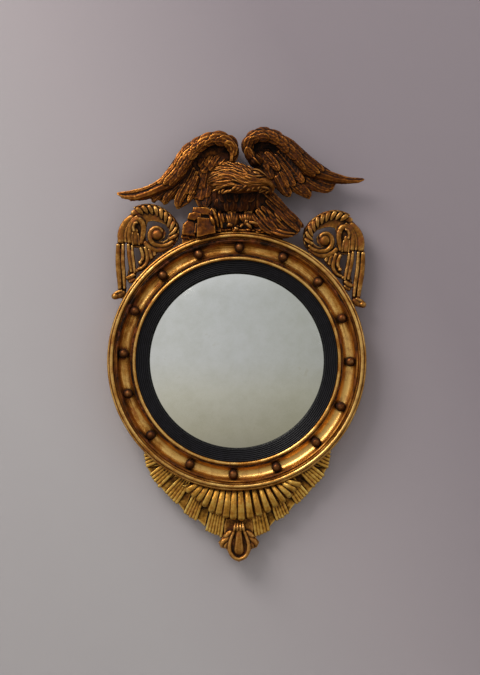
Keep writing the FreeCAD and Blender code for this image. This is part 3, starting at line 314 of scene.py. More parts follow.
def finish_of(name):
    """The finish by name, made the first time that it is asked for."""
    shades = colours()
    if name not in MATERIALS:
        makers = {
            # Water gilding on the turned ring: burnished, and rubbed to the red clay in places.
            "ring": lambda: gilding("burnished_water_gilding", tuple(shades.dirt_and_shade), hex_colour("6E3C12"),
                                    tuple(shades.ring_gold), tuple(shades.ring_bright),
                                    0.55, 0.3, 0.05, 0.35),
            # Oil gilding on the crest: toned down to a dark bronze.
            "crest": lambda: gilding("toned_oil_gilding", hex_colour("140702"), tuple(shades.crest_tone),
                                     hex_colour("824A1E"), tuple(shades.crest_gold), 0.2, 0.33, -0.06, 0.75),
            # The same gilding on the neck, where hands have brightened it.
            "hackle": lambda: gilding("worn_oil_gilding", hex_colour("140702"), tuple(shades.crest_tone),
                                      hex_colour("84501F"), hex_colour("B47E42"), 0.2, 0.35, 0.0, 0.75),
            # The same gilding where the light falls away: tail and right wing.
            "shade": lambda: gilding("shaded_oil_gilding", hex_colour("120602"), hex_colour("42220D"),
                                     hex_colour("74421B"), hex_colour("AC6E30"), 0.2, 0.34, -0.1, 0.75),
            # The same gilding in the hollow of the breast, painted nearly black as painted shade.
            "breast_shade": lambda: gilding("shade_darkened_oil_gilding", hex_colour("0D0502"), hex_colour("271107"),
                                    hex_colour("42220F"), hex_colour("6A4122"), 0.1, 0.4, -0.08, 0.8),
            # Matt gilding on the scrolls.
            "scroll": lambda: gilding("matt_gilding", tuple(shades.dirt_and_shade), hex_colour("5E3917"),
                                      hex_colour("8C5B26"), hex_colour("D8A55C"), 0.55, 0.32, -0.02, 0.58),
            # Greener and thinner gold on the apron.
            "apron": lambda: gilding("green_gold_gilding", tuple(shades.dirt_and_shade), hex_colour("6E4816"),
                                     tuple(shades.apron_gold), hex_colour("E0B962"), 0.35, 0.33, 0.04, 0.38),
            # The same gold on the drop, browner with handling.
            "drop": lambda: gilding("handled_gilding", tuple(shades.dirt_and_shade), hex_colour("53300F"),
                                    hex_colour("A06A2E"), hex_colour("D09A54"), 0.35, 0.33, 0.05, 0.4),
            # Balls, toned darker than the cove that they stand in.
            "ball": lambda: gilding("toned_ball_gilding", hex_colour("120804"), hex_colour("3A1F10"),
                                    hex_colour("6E4222"), hex_colour("A97C50"), 0.15, 0.28, -0.02, 0.3),
            "ebony": ebonised_wood,
            "glass": silvered_glass,
            "pine": planed_pine,
            # Pine brushed with brown size where it would show between the carvings.
            "sized": lambda: worked_metal("sized_pine", "2A180B", "573820", 0.0, 0.6, 11.0),
            # Forged iron straps, blacked, with a bloom of rust.
            "iron": lambda: worked_metal("forged_iron", "17130F", "3A2A20", 0.75, 0.6, 9.0),
            # Rolled brass gone brown.
            "brass": lambda: worked_metal("tarnished_brass", "6B4A1C", "B98F44", 1.0, 0.35, 7.0),
            # Hand-filed steel screws.
            "steel": lambda: worked_metal("filed_steel", "2A2622", "5C5650", 0.95, 0.42, 4.0),
        }
        MATERIALS[name] = makers[name]()
    return MATERIALS[name]


# ---- shaping helpers ----
def start_alone():
    """Leaves edit mode with nothing selected."""
    if bpy.context.object and bpy.context.object.mode != "OBJECT":
        bpy.ops.object.mode_set(mode="OBJECT")
    bpy.ops.object.select_all(action="DESELECT")


def pick(piece):
    """Makes a piece the only one selected."""
    start_alone()
    bpy.context.view_layer.objects.active = piece
    piece.select_set(True)


def unit(vectors):
    """Vectors at unit length."""
    lengths = np.linalg.norm(vectors, axis=-1, keepdims=True)
    return vectors / np.maximum(lengths, 1e-9)


def along(points, shares):
    """A smooth line through points, read at shares of the way from its first to its last."""
    points = np.asarray(points, float)
    flat = points.ndim == 1
    if flat:
        points = points[:, None]
        knots = np.linspace(0.0, 1.0, len(points))
    else:
        steps = np.linalg.norm(np.diff(points, axis=0), axis=1)
        knots = np.concatenate(([0.0], np.cumsum(steps))) / steps.sum()
    slopes = np.gradient(points, knots, axis=0)
    shares = np.clip(shares, 0.0, 1.0)
    index = np.clip(np.searchsorted(knots, shares, side="right") - 1, 0, len(knots) - 2)
    gap = (knots[index + 1] - knots[index])[:, None]
    t = (shares - knots[index])[:, None] / gap
    line = ((2 * t ** 3 - 3 * t ** 2 + 1) * points[index] + (t ** 3 - 2 * t ** 2 + t) * gap * slopes[index]
            + (3 * t ** 2 - 2 * t ** 3) * points[index + 1] + (t ** 3 - t ** 2) * gap * slopes[index + 1])
    return line[:, 0] if flat else line


def line_length(points):
    return float(np.linalg.norm(np.diff(np.asarray(points, float), axis=0), axis=1).sum())


def vectors_of(items, field="co"):
    """One vector for each item of a mesh, in rows."""
    values = np.empty(len(items) * 3)
    items.foreach_get(field, values)
    return values.reshape(-1, 3)


def faces_of(mesh):
    return [tuple(face.vertices) for face in mesh.polygons]


def extruded(outline, back, front):
    """A front-view outline drawn out from its back to its front, left in edit mode."""
    start_alone()
    bpy.ops.mesh.primitive_circle_add(vertices=len(outline), radius=1.0, fill_type="NGON")
    block = bpy.context.active_object
    for vertex, (x, z) in zip(block.data.vertices, outline):
        vertex.co = (x, back, z)
    bpy.ops.object.mode_set(mode="EDIT")
    bpy.ops.mesh.select_all(action="SELECT")
    bpy.ops.mesh.extrude_region_move(TRANSFORM_OT_translate={"value": (0.0, front - back, 0.0)})
    return block


def bore(plank, outline, back, front):
    """Cuts an opening of the given front-view outline right through a plank."""
    cutter = extruded(outline, back, front)
    bpy.ops.mesh.select_all(action="SELECT")
    bpy.ops.mesh.normals_make_consistent(inside=False)
    bpy.ops.object.mode_set(mode="OBJECT")
    pick(plank)
    cut = plank.modifiers.new("bore", "BOOLEAN")
    cut.operation = "DIFFERENCE"
    cut.object = cutter
    cut.solver = "EXACT"
    bpy.ops.object.modifier_apply(modifier=cut.name)
    bpy.data.objects.remove(cutter)


class Blank:
    """A ball whose rings are later spread along a line, so that one start makes every carved form."""

    def __init__(self, around, rings):
        start_alone()
        bpy.ops.mesh.primitive_uv_sphere_add(segments=around, ring_count=rings, radius=1.0)
        ball = bpy.context.active_object
        points = read_points(ball)
        self.shares = (1.0 - points[:, 2]) / 2
        ring = np.hypot(points[:, 0], points[:, 1])
        self.across = np.where(ring > 1e-6, points[:, 0] / np.maximum(ring, 1e-6), 0.0)
        self.up = np.where(ring > 1e-6, points[:, 1] / np.maximum(ring, 1e-6), 0.0)
        self.faces = faces_of(ball.data)
        bpy.data.objects.remove(ball)


BLANKS = {}


def blank(kind):
    """The blank by kind, made the first time that it is asked for."""
    sides_and_rings = {"strand": (12, 24), "feather": (26, 44), "lump": (18, 14)}
    if kind not in BLANKS:
        BLANKS[kind] = Blank(*sides_and_rings[kind])
    return BLANKS[kind]


class Surface:
    """The front of some CAD pieces, which carved detail is laid on."""

    def __init__(self, *nodes):
        self.trees = []
        for name in nodes:
            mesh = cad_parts[name].data
            corners = [vertex.co.copy() for vertex in mesh.vertices]
            self.trees.append(BVHTree.FromPolygons(corners, faces_of(mesh)))

    def touch(self, x, z):
        """The front-most place and normal straight over (x, z), or None."""
        best = None
        for tree in self.trees:
            place, normal, _, _ = tree.ray_cast(Vector((x, -500.0, z)) * MM, Vector((0, 1, 0)))
            if place and (best is None or place.y < best[0].y):
                best = (place, normal)
        return best

    def at(self, x, z, spread=4.0):
        """The point over (x, z) and its normal, evened out over a small patch."""
        hits = []
        for dx, dz in ((0, 0), (spread, 0), (-spread, 0), (0, spread), (0, -spread)):
            hit = self.touch(x + dx, z + dz)
            if hit:
                hits.append(hit)
        if not hits:
            near = [tree.find_nearest(Vector((x, -45.0, z)) * MM) for tree in self.trees]
            place, normal, _, _ = min(near, key=lambda found: found[3])
            return np.array((x, place.y / MM, z)), np.array(FORWARD)
        depth = sum(place.y for place, _ in hits) / len(hits) / MM
        normal = unit(np.mean([tuple(normal) for _, normal in hits], axis=0) + 0.6 * np.array(FORWARD))
        return np.array((x, depth, z)), normal

    def lay(self, points, lifts):
        """A line of front-view points laid on the surface and lifted off it."""
        lifts = np.interp(np.linspace(0, 1, len(points)), np.linspace(0, 1, len(lifts)), lifts)
        path, normals = [], []
        for (x, z), lift in zip(points, lifts):
            place, normal = self.at(x, z)
            path.append(place + normal * lift)
            normals.append(normal)
        return np.array(path), np.array(normals)


class Carving:
    """Gathers closed forms, which are then cut into one skin."""

    def __init__(self, seed):
        self.points = []
        self.faces = []
        self.count = 0
        self.chance = np.random.default_rng(seed)

    def add(self, points, faces):
        """Adds one closed form, its faces numbered after those already there."""
        self.points.append(points)
        self.faces.extend(tuple(corner + self.count for corner in face) for face in faces)
        self.count += len(points)

    def add_node_solid(self, name):
        """Takes a CAD piece as the block that the detail is carved from."""
        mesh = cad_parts[name].data
        points = vectors_of(mesh.vertices) / MM
        whole, back = np.unique(np.round(points, 3), axis=0, return_inverse=True)
        back = back.reshape(-1)
        faces = [tuple(int(back[corner]) for corner in face.vertices) for face in mesh.polygons]
        faces = [face for face in faces if len(set(face)) == len(face)]
        self.add(whole, faces)

    def form(self, path, widths, rises, facing=FORWARD, kind="strand", top=None, roll=0.0):
        """Spreads a blank along a line: half widths and half rises in millimetres."""
        start = blank(kind)
        path = np.asarray(path, float)
        reach = line_length(path)
        u = start.shares
        centre = along(path, u)
        tangent = unit(along(path, u + 0.02) - along(path, u - 0.02))
        facing = np.asarray(facing, float)
        if facing.ndim == 1:
            up = np.repeat(facing[None, :], len(u), axis=0)
        else:
            up = np.stack([np.interp(u, np.linspace(0, 1, len(facing)), facing[:, axis])
                           for axis in range(3)], axis=1)
        up = unit(up - tangent * (up * tangent).sum(axis=1, keepdims=True))
        side = np.cross(tangent, up)
        if roll:
            turned_up = up * math.cos(roll) + side * math.sin(roll)
            side = side * math.cos(roll) - up * math.sin(roll)
            up = turned_up
        width = along(widths, u) if np.ndim(widths) else np.full(len(u), float(widths))
        rise = along(rises, u) if np.ndim(rises) else np.full(len(u), float(rises))
        width = np.maximum(width, 0.15)
        rise = np.maximum(rise, 0.15)
        ends = []
        for gone, end_width in ((u * reach, width[np.argmin(u)]), ((1 - u) * reach, width[np.argmax(u)])):
            radius = min(max(end_width, 0.3), reach / 2)
            ends.append(np.sqrt(np.clip(1 - (1 - np.minimum(gone / radius, 1.0)) ** 2, 0, 1)))
        round_off = np.minimum(ends[0], ends[1])
        across = start.across
        height = start.up
        if top is not None:
            height = top(start, u * reach, width, rise, across, height)
        else:
            height = height * rise
        points = centre + side * (across * width * round_off)[:, None] + up * (height * round_off)[:, None]
        self.add(points, start.faces)

    def feather(self, path, half_width, facing=FORWARD, thick=2.0, roll=0.0, root=0.6, barbs=1.0, point=0.5,
                dome=0.6):
        """A carved feather: a thin leaf with a middle rib and slanted cuts that run back from it."""
        sizes = carving_sizes()
        phase = self.chance.uniform(0, 2 * math.pi)
        slant = self.chance.uniform(2.7, 3.4)

        def top(start, gone, width, rise, across, height):
            domed = np.sign(height) * np.abs(height) ** dome * rise
            rib = sizes.quill_rise / MM * np.exp(-(across / 0.14) ** 2) * np.clip(1.15 - start.shares, 0.2, 1)
            along_cut = gone - slant * np.abs(across) * width
            cuts = 0.5 + 0.5 * np.cos(2 * math.pi * along_cut * MM / sizes.barb_pitch + phase)
            fade = np.clip((np.abs(across) - 0.1) / 0.15, 0, 1)
            shown = height > 0.05
            return domed + np.where(shown, rib - barbs * sizes.barb_depth / MM * cuts * fade, 0.0)

        widths = half_width * np.array((root, 0.5 + root / 2, 0.95, 1.0, 0.86, point))
        self.form(path, widths, thick, facing, "feather", top, roll)

    def strand(self, path, half_width, facing=FORWARD, taper=(0.55, 1.0, 0.25), rise=None):
        """A lock or reed, swelling and tapering along its line."""
        widths = half_width * np.array(taper)
        rises = widths if rise is None else rise * np.array(taper)
        self.form(path, widths, rises, facing, "strand")

    def band(self, path, half_width, rise, taper=(0.8, 1.0, 1.0, 0.75)):
        """A broad band with a nearly flat top and eased edges."""
        self.form(path, half_width * np.array(taper), rise, FORWARD, "feather", flat_top)

    def lump(self, centre, half_sizes, tilt=0.0):
        """A rounded lump; tilt turns it in the front view, in degrees."""
        x, y, z = centre
        half_x, half_y, half_z = half_sizes
        dx, dz = math.sin(math.radians(tilt)), math.cos(math.radians(tilt))
        path = ((x - dx * half_z, y, z - dz * half_z), (x, y, z), (x + dx * half_z, y, z + dz * half_z))
        start = blank("lump")
        path = np.asarray(path, float)
        centre_line = along(path, start.shares)
        ring = np.sqrt(np.clip(1 - (2 * start.shares - 1) ** 2, 0, 1))
        side = np.array((dz, 0.0, -dx))
        points = centre_line + side * (start.across * half_x * ring)[:, None]
        points = points + np.array(FORWARD) * (start.up * half_y * ring)[:, None]
        self.add(points, start.faces)

    def board(self, outline, back, front, soften=2.0, hole=None):
        """A flat piece cut to a front-view outline, its edges eased by bevels, with an opening."""
        plank = extruded(outline, back, front)
        bpy.ops.mesh.bevel(offset=soften, segments=2, affect="EDGES")
        bpy.ops.mesh.select_all(action="SELECT")
        bpy.ops.mesh.quads_convert_to_tris(ngon_method="CLIP")
        bpy.ops.mesh.normals_make_consistent(inside=False)
        bpy.ops.object.mode_set(mode="OBJECT")
        if hole:
            bore(plank, hole, back + BORE_PAST, front - BORE_PAST)
        self.add(read_points(plank), faces_of(plank.data))
        bpy.data.objects.remove(plank)

    def skin(self, name, finish, slot, nodes, grain=1.0, marks=1.0):
        """Cuts everything gathered into one skin, marks it with the tools and finishes it."""
        sizes = carving_sizes()
        mesh = bpy.data.meshes.new(name)
        mesh.from_pydata(np.concatenate(self.points) * MM, [], self.faces)
        mesh.update()
        piece = bpy.data.objects.new(name, mesh)
        bpy.context.scene.collection.objects.link(piece)
        pick(piece)
        remesh = piece.modifiers.new("cut", "REMESH")
        remesh.mode = "VOXEL"
        remesh.voxel_size = sizes.grain * grain * 1.0
        remesh.adaptivity = 0.0
        bpy.ops.object.modifier_apply(modifier=remesh.name)
        tool_marks(piece, marks * sizes.tool_mark / MM, 7.0)
        keep_in_box(piece)
        settle(piece, finish, nodes)
        note_wear_and_shade(piece)


def flat_top(start, gone, width, rise, across, height):
    """A band's section: nearly flat on top, with eased edges."""
    return np.sign(height) * np.abs(height) ** 0.62 * rise


def read_points(piece):
    return vectors_of(piece.data.vertices)


def write_points(piece, points):
    piece.data.vertices.foreach_set("co", np.ascontiguousarray(points, dtype=np.float32).ravel())
    piece.data.update()


def read_normals(piece):
    return vectors_of(piece.data.vertices, "normal")


def tool_marks(piece, depth, size):
    """Moves the skin in and out by a fraction of a millimetre, as a chisel leaves it."""
    points = read_points(piece)
    normals = read_normals(piece)
    cells = points / (size * MM)
    push = np.array([noise.noise(Vector(cell)) for cell in cells])
    write_points(piece, points + normals * (push * depth * MM)[:, None])


def keep_in_box(piece):
    """Holds stray detail inside the real model's box."""
    low, high = CAD_BOX
    points = read_points(piece)
    points = np.clip(points, np.array(low) - BOX_SLACK * MM, np.array(high) + BOX_SLACK * MM)
    points[:, 1] = np.minimum(points[:, 1], -WALL_GAP * MM)
    write_points(piece, points)


def evened(points, edges, rounds):
    """The points after each has moved towards its neighbours a number of times."""
    first, second = edges[:, 0], edges[:, 1]
    count = np.bincount(first, minlength=len(points)) + np.bincount(second, minlength=len(points))
    count = np.maximum(count, 1)
    for _ in range(rounds):
        moved = np.empty_like(points)
        for axis in range(3):
            total = np.bincount(first, points[second, axis], len(points))
            total += np.bincount(second, points[first, axis], len(points))
            moved[:, axis] = total / count
        points = 0.3 * points + 0.7 * moved
    return points


def note_wear_and_shade(piece, fine=0.0011, broad=0.0040):
    """Stores how far each point stands over its surroundings: 0.5 flat, 1 ridge, 0 hollow, lowered by painted
    shade on upward-facing places.
    """
    mesh = piece.data
    points = read_points(piece)
    normals = read_normals(piece)
    edges = np.empty(len(mesh.edges) * 2, dtype=np.int32)
    mesh.edges.foreach_get("vertices", edges)
    edges = edges.reshape(-1, 2)
    near = evened(points, edges, 6)
    far = evened(near, edges, 40)
    small = ((points - near) * normals).sum(axis=1) / fine
    large = ((near - far) * normals).sum(axis=1) / broad
    # Painted shade: upward-facing places are darkened against the light from above.
    dust = 0.26 * np.clip(normals[:, 2], 0, 1) ** 1.5
    store_wear_and_shade(piece, 0.5 + 0.9 * small + 0.6 * large - dust)


# The stored value holds rubbed wear and, on the ring, the balls and upward-facing places, painted light and
# shade.
def store_wear_and_shade(piece, wear_and_shade):
    layer = piece.data.attributes.new("wear_and_shade", "FLOAT", "POINT")
    layer.data.foreach_set("value", np.clip(wear_and_shade, 0.0, 1.0).astype(np.float32))


def settle(piece, finish, nodes):
    """Gives a piece its finish and its place in the model."""
    pick(piece)
    bpy.ops.object.shade_smooth()
    piece.data.materials.clear()
    piece.data.materials.append(finish_of(finish))
    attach(piece, BODY)
    if nodes:
        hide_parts(*nodes)


def turned(name, section, steps, closed=True):
    """Spins a section of (radius, depth) points in millimetres about the mirror's axis."""
    start_alone()
    bpy.ops.mesh.primitive_circle_add(vertices=len(section), radius=1.0)
    piece = bpy.context.active_object
    piece.name = name
    for vertex, (radius, depth) in zip(piece.data.vertices, section):
        vertex.co = Vector((0.0, depth, radius)) * MM
    bpy.ops.object.mode_set(mode="EDIT")
    if not closed:
        bpy.ops.mesh.select_all(action="DESELECT")
        bpy.ops.object.mode_set(mode="OBJECT")
        last = len(section) - 1
        for edge in piece.data.edges:
            edge.select = set(edge.vertices) == {0, last}
        bpy.ops.object.mode_set(mode="EDIT")
        bpy.ops.mesh.select_mode(type="EDGE")
        bpy.ops.mesh.delete(type="EDGE_FACE")
    bpy.ops.mesh.select_all(action="SELECT")
    bpy.ops.mesh.spin(steps=steps, angle=2 * math.pi, center=(0, 0, 0), axis=(0, 1, 0), use_auto_merge=True)
    bpy.ops.mesh.select_all(action="SELECT")
    bpy.ops.mesh.remove_doubles(threshold=0.000005)
    bpy.ops.mesh.normals_make_consistent(inside=False)
    bpy.ops.object.mode_set(mode="OBJECT")
    pick(piece)
    bpy.ops.object.transform_apply(location=True, rotation=True, scale=True)
    return piece


def arc(start, through, end, count):
    """Points on the arc from start through a middle point, without the last."""
    (x1, y1), (x2, y2), (x3, y3) = start, through, end
    a, b = 2 * (x2 - x1), 2 * (y2 - y1)
    c = x2 ** 2 + y2 ** 2 - x1 ** 2 - y1 ** 2
    d, e = 2 * (x3 - x2), 2 * (y3 - y2)
    f = x3 ** 2 + y3 ** 2 - x2 ** 2 - y2 ** 2
    under = a * e - b * d
    cx, cy = (c * e - b * f) / under, (a * f - c * d) / under
    radius = math.hypot(x1 - cx, y1 - cy)
    turns = [math.atan2(y - cy, x - cx) for x, y in (start, through, end)]
    for index in (1, 2):
        while turns[index] - turns[index - 1] > math.pi:
            turns[index] -= 2 * math.pi
        while turns[index] - turns[index - 1] < -math.pi:
            turns[index] += 2 * math.pi
    angles = np.linspace(turns[0], turns[2], count + 1)[:-1]
    return [(cx + radius * math.cos(angle), cy + radius * math.sin(angle)) for angle in angles]


# ---- turned pieces ----
# How bright the gilding is painted at each radius in millimetres: rubbed leaf and dirt, with painted shade
# in the quirks and on the cove's outer wall, and painted highlights on the beads.
RING_SHADES = (
    (292.5, 0.64), (291.2, 0.74), (290.0, 0.48), (289.0, 0.44), (287.6, 0.66), (284.0, 0.70), (281.2, 0.64),
    (279.4, 0.50), (277.6, 0.38), (276.4, 0.62), (275.0, 0.24), (271.5, 0.18), (269.4, 0.32), (267.0, 0.48),
    (263.5, 0.60), (257.0, 0.68), (250.0, 0.72), (244.0, 0.76), (242.0, 0.55), (240.6, 0.12), (238.4, 0.14),
    (237.0, 0.50), (234.0, 0.78), (231.0, 0.72), (229.0, 0.40),
)
# Middle radius and reach in millimetres of the cove, which is painted brighter at the lower right as painted
# light, and of the inner bead, which is painted darker there as painted shade.
COVE_MIDDLE, COVE_REACH = 254.0, 10.0
BEAD_MIDDLE, BEAD_REACH = 234.0, 5.0


def make_ring():
    """The gilt ring: rim bead with a quirk, groove, cove, fillet and inner bead."""
    sizes = turned_sizes()
    outer = sizes.ring_radius / MM
    front = -sizes.front_depth / MM
    groove = outer - sizes.rim_width / MM
    cove_out = groove - sizes.groove_width / MM
    cove_in = cove_out - sizes.cove_width / MM
    bead_out = cove_in - 4.0
    lip = bead_out - sizes.bead_width / MM
    shoulder = front + 4.0
    edge = front + 6.0
    fillet = edge + 6.0
    brink = (groove, shoulder + 0.8)
    ledge = (groove - 5.2, shoulder + 0.8)
    deepest = ((cove_out + cove_in) / 2, edge + 16.0)
    section = [(outer - 1.5, JOINT_Y), (outer, -34.0), (outer, -44.0)]
    section += arc((outer, -50.0), (outer - 0.6, shoulder + 1.2), (outer - 3.2, shoulder), 8)
    section += arc((outer - 3.2, shoulder), (outer - 3.9, shoulder + 0.9), (outer - 4.6, shoulder), 5)
    section += arc((outer - 4.6, shoulder), ((outer + groove) / 2 - 2.0, front), brink, 14)
    section += arc(brink, (groove - 2.6, shoulder + 4.0), ledge, 8)
    section += arc(ledge, (groove - 7.2, shoulder - 0.4), (groove - 9.0, shoulder + 1.0), 6)
    section += [(cove_out, edge)]
    section += arc((cove_out - 0.3, edge + 0.8), deepest, (cove_in, fillet), 26)
    section += [(cove_in, fillet), (cove_in - 1.6, fillet)]
    section += [(cove_in - 1.9, fillet + 0.9), (bead_out + 0.3, fillet + 0.9)]
    section += arc((bead_out, fillet), ((bead_out + lip) / 2, fillet - 4.0), (lip, fillet), 16)
    section += [(lip, fillet), (lip, fillet + 3.5), (lip + 6.0, fillet + 3.5), (lip + 6.0, JOINT_Y)]
    ring = turned("gilt_ring", section, 300)
    tool_marks(ring, sizes.wobble / MM, 45.0)
    tool_marks(ring, 0.07, 6.0)
    settle(ring, "ring", ["frame_ring"])
    points = read_points(ring)
    radius = np.hypot(points[:, 0], points[:, 2])
    known, shade = np.array(sorted(RING_SHADES)).T
    wear_and_shade = np.interp(radius / MM, known, shade)
    around = points[:, (0, 2)] / radius[:, None]
    for across, length_round, strength in ((1.3, 5.0, 0.22), (5.0, 9.0, 0.2), (14.0, 2.4, 0.12)):
        cells = np.column_stack((radius / (across * MM), around * length_round))
        wear_and_shade += strength * np.array([noise.noise(Vector(cell)) for cell in cells])
    # Painted light and shade: brighter towards the lower right over the whole ring, more so in the cove, and
    # darker there on the inner bead.
    lower_right_light = (points[:, 0] * 0.6 - points[:, 2] * 0.8) / radius
    in_cove = np.clip(1.4 - np.abs(radius / MM - COVE_MIDDLE) / COVE_REACH, 0.0, 1.0)
    on_bead = np.clip(1.4 - np.abs(radius / MM - BEAD_MIDDLE) / BEAD_REACH, 0.0, 1.0)
    lower_right_share = np.clip(lower_right_light, 0.0, 1.0)
    store_wear_and_shade(ring, wear_and_shade + 0.05 + 0.13 * lower_right_light + (0.22 * in_cove - 0.26 * on_bead) * lower_right_share)


def make_slip():
    """The ebonised slip: reeds that step down to the glass, with a fillet at the sight."""
    sizes = turned_sizes()
    lip = LIP_RADIUS
    sight = lip - sizes.slip_width / MM
    outside = 234.7
    inside = 212.5
    top = -46.5
    low = -39.6
    reeds = 6
    pitch = (lip - sight - 3.0) / reeds
    section = [(outside, JOINT_Y), (outside, top), (lip, top)]
    for reed in range(reeds):
        start = (lip - pitch * reed, top + (low - top) * reed / reeds)
        end = (lip - pitch * (reed + 1) + 0.25, top + (low - top) * (reed + 1) / reeds)
        crown = ((start[0] + end[0]) / 2, (start[1] + end[1]) / 2 - 2.0)
        section += arc(start, crown, end, 8)
    section += [(sight + 3.0, low + 0.6), (sight + 2.6, low - 0.9), (sight + 0.5, low - 0.9), (sight, low)]
    section += [(sight, -33.7), (inside, -30.3), (inside, JOINT_Y)]
    slip = turned("reeded_slip", section, 240)
    tool_marks(slip, 0.08, 30.0)
    settle(slip, "ebony", ["ebonised_slip"])


def make_glass():
    """The convex plate, finely divided so that it mirrors without facets."""
    sizes = turned_sizes()
    rim = 212.0
    bulge = sizes.plate_bulge / MM
    sphere = (rim ** 2 + bulge ** 2) / (2 * bulge)
    flat = sphere - bulge
    count = 64
    section = []
    for index in range(count + 1):
        radius = rim * index / count
        section.append((radius, -30.0 - (math.sqrt(sphere ** 2 - radius ** 2) - flat)))
    for index in range(count // 4, -1, -1):
        radius = rim * index / (count // 4)
        section.append((radius, -27.0 - (math.sqrt(sphere ** 2 - radius ** 2) - flat)))
    section[0] = (0.0, section[0][1])
    glass = turned("convex_glass", section, 200, closed=False)
    settle(glass, "glass", ["mirror_plate"])
    pick(glass)
    bpy.ops.object.shade_smooth_by_angle(angle=math.radians(30))


def make_balls():
    """Turned balls, a little uneven, each in the place of its own CAD ball."""
    for index in range(BALL_COUNT):
        node = "ball_%02d" % (index + 1)
        low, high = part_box(node)
        middle = (Vector(low) + Vector(high)) / 2
        radius = (high[0] - low[0]) / 2
        start_alone()
        bpy.ops.mesh.primitive_uv_sphere_add(
            segments=44, ring_count=28, radius=radius, location=(middle.x, low[1] + radius, middle.z),
            rotation=(math.radians(90), 0.0, 0.0))
        piece = bpy.context.active_object
        piece.name = "turned_ball_%02d" % (index + 1)
        bpy.ops.object.transform_apply(location=True, rotation=True, scale=True)
        tool_marks(piece, 0.35, 9.0)
        settle(piece, "ball", [node])
        # Painted shading of a lit round: bright at the front of each ball, darker towards its rim.
        front = (low[1] + radius - read_points(piece)[:, 1]) / radius
        store_wear_and_shade(piece, 0.22 + 0.45 * np.clip(front, 0, 1) ** 2)


# ---- wings ----
# The wings are the largest carvings, so their skins are a little coarser than the others.
WING_GRAIN = 1.06
LEFT_ARCH_OUTER = ((-5, 450), (2, 472), (-1, 496), (-20, 512), (-45, 520), (-75, 512), (-100, 500),
                   (-125, 481.5), (-140, 461), (-152, 444), (-170, 421), (-190, 401.5))
LEFT_ARCH_INNER = ((-20, 455), (-16, 472), (-22, 485), (-34, 489), (-50, 488), (-70, 481), (-88, 467),
                   (-98, 455), (-106, 437), (-115, 422), (-127, 408), (-141, 396))
RIGHT_ARCH_OUTER = ((38, 440), (26, 457), (16, 478), (16, 494), (24, 511), (40, 524), (58, 527),
                    (85, 521), (113, 507), (140, 490), (161, 470.5), (183, 452.5), (207, 434))
RIGHT_ARCH_INNER = ((50, 446), (38, 462), (30, 480), (36, 491), (48, 496), (63, 497.5), (80, 494),
                    (96, 484), (109, 467), (125, 452), (140, 435), (152, 421), (168, 414))
# Rows along an arch: first and last share of the way, feather length as a share, lanes, steps, half width.
SHOULDER_ROW = (0.0, 0.52, 0.155, 3, 6, 9.4)
MIDDLE_ROW = (0.52, 0.70, 0.24, 3, 2, 8.2)
LOWER_ROW = (0.70, 0.80, 0.26, 3, 2, 7.6)


def arch_rows(carving, surface, outer, inner, rows, tilt):
    """Lanes of feathers that follow an arched band, each tip lying over the next root."""
    for first, last, reach, lanes, steps, half_width in rows:
        for lane in range(lanes):
            side = 0.1 + 0.8 * (lane + 0.5) / lanes
            for step in range(steps):
                share = first + (last - first) * (step + 0.37 * lane) / max(steps - 1, 1)
                stretch = reach * carving.chance.uniform(0.92, 1.12)
                sideways = side + carving.chance.uniform(-0.02, 0.02)
                shares = np.clip(share + stretch * np.array((0.0, 0.5, 1.0)), 0, 1)
                if shares[2] - shares[0] < 0.5 * reach:
                    continue
                top = along(outer, shares)
                low = along(inner, shares)
                points = top * (1 - sideways) + low * sideways
                path, normals = surface.lay(points, (-1.2, 0.9, 2.3))
                roll = tilt * carving.chance.uniform(0.05, 0.22)
                carving.feather(path, half_width * carving.chance.uniform(0.9, 1.15), normals, thick=1.7,
                                roll=roll, root=0.8, barbs=0.8, point=0.3, dome=0.38)


# Long feathers, from root to tip in the front view: points, half width, and depths at root and tip.
LEFT_LONG = (
    (((-150, 425), (-200, 392), (-245, 381), (-272, 379)), 5.6, -54, -48),
    (((-148, 415), (-195, 384), (-236, 372.5), (-263, 371)), 6.0, -50, -46),
    (((-144, 407), (-186, 381), (-222, 368.5), (-243, 364.5)), 5.8, -52, -47),
    (((-140, 401), (-175, 380), (-205, 370), (-224, 365)), 5.6, -48, -45),
    (((-138, 400), (-165, 382), (-183, 368), (-189, 362)), 8.0, -47, -44),
    (((-148, 398), (-172, 385), (-186, 375), (-192, 368)), 6.0, -49, -46),
    (((-130, 402), (-151, 381), (-163, 364), (-166, 357)), 8.0, -47, -44),
    (((-124, 404), (-142, 384), (-152, 372), (-156, 362)), 7.0, -46, -43),
    (((-116, 404), (-130, 378), (-136, 358), (-136, 348)), 7.5, -47, -44),
    (((-108, 400), (-118, 380), (-128, 362), (-131, 350)), 6.5, -46, -43),
    (((-96, 386), (-102, 376), (-108, 366), (-112, 361)), 6.5, -45, -42),
)
LEFT_UNDER = (
    (((-104, 446), (-116, 424), (-128, 404), (-137, 388)), 8.5, -45, -46),
    (((-98, 440), (-108, 418), (-118, 400), (-126, 384)), 8.5, -45, -46),
    (((-92, 432), (-100, 410), (-109, 392), (-116, 378)), 8.0, -45, -46),
    (((-88, 420), (-94, 402), (-101, 388), (-106, 376)), 7.0, -45, -46),
)
# Soft feathers where the wing meets the neck, lying down towards the rocks.
LEFT_RUFFLE = (
    ((-66, 438), (-70, 414), (-74, 392)), ((-80, 436), (-82, 412), (-84, 390)),
    ((-92, 424), (-94, 406), (-97, 388)), ((-64, 412), (-66, 392), (-70, 370)),
    ((-78, 402), (-80, 384), (-84, 364)), ((-66, 386), (-68, 366), (-72, 348)),
    ((-90, 396), (-93, 380), (-98, 368)),
)
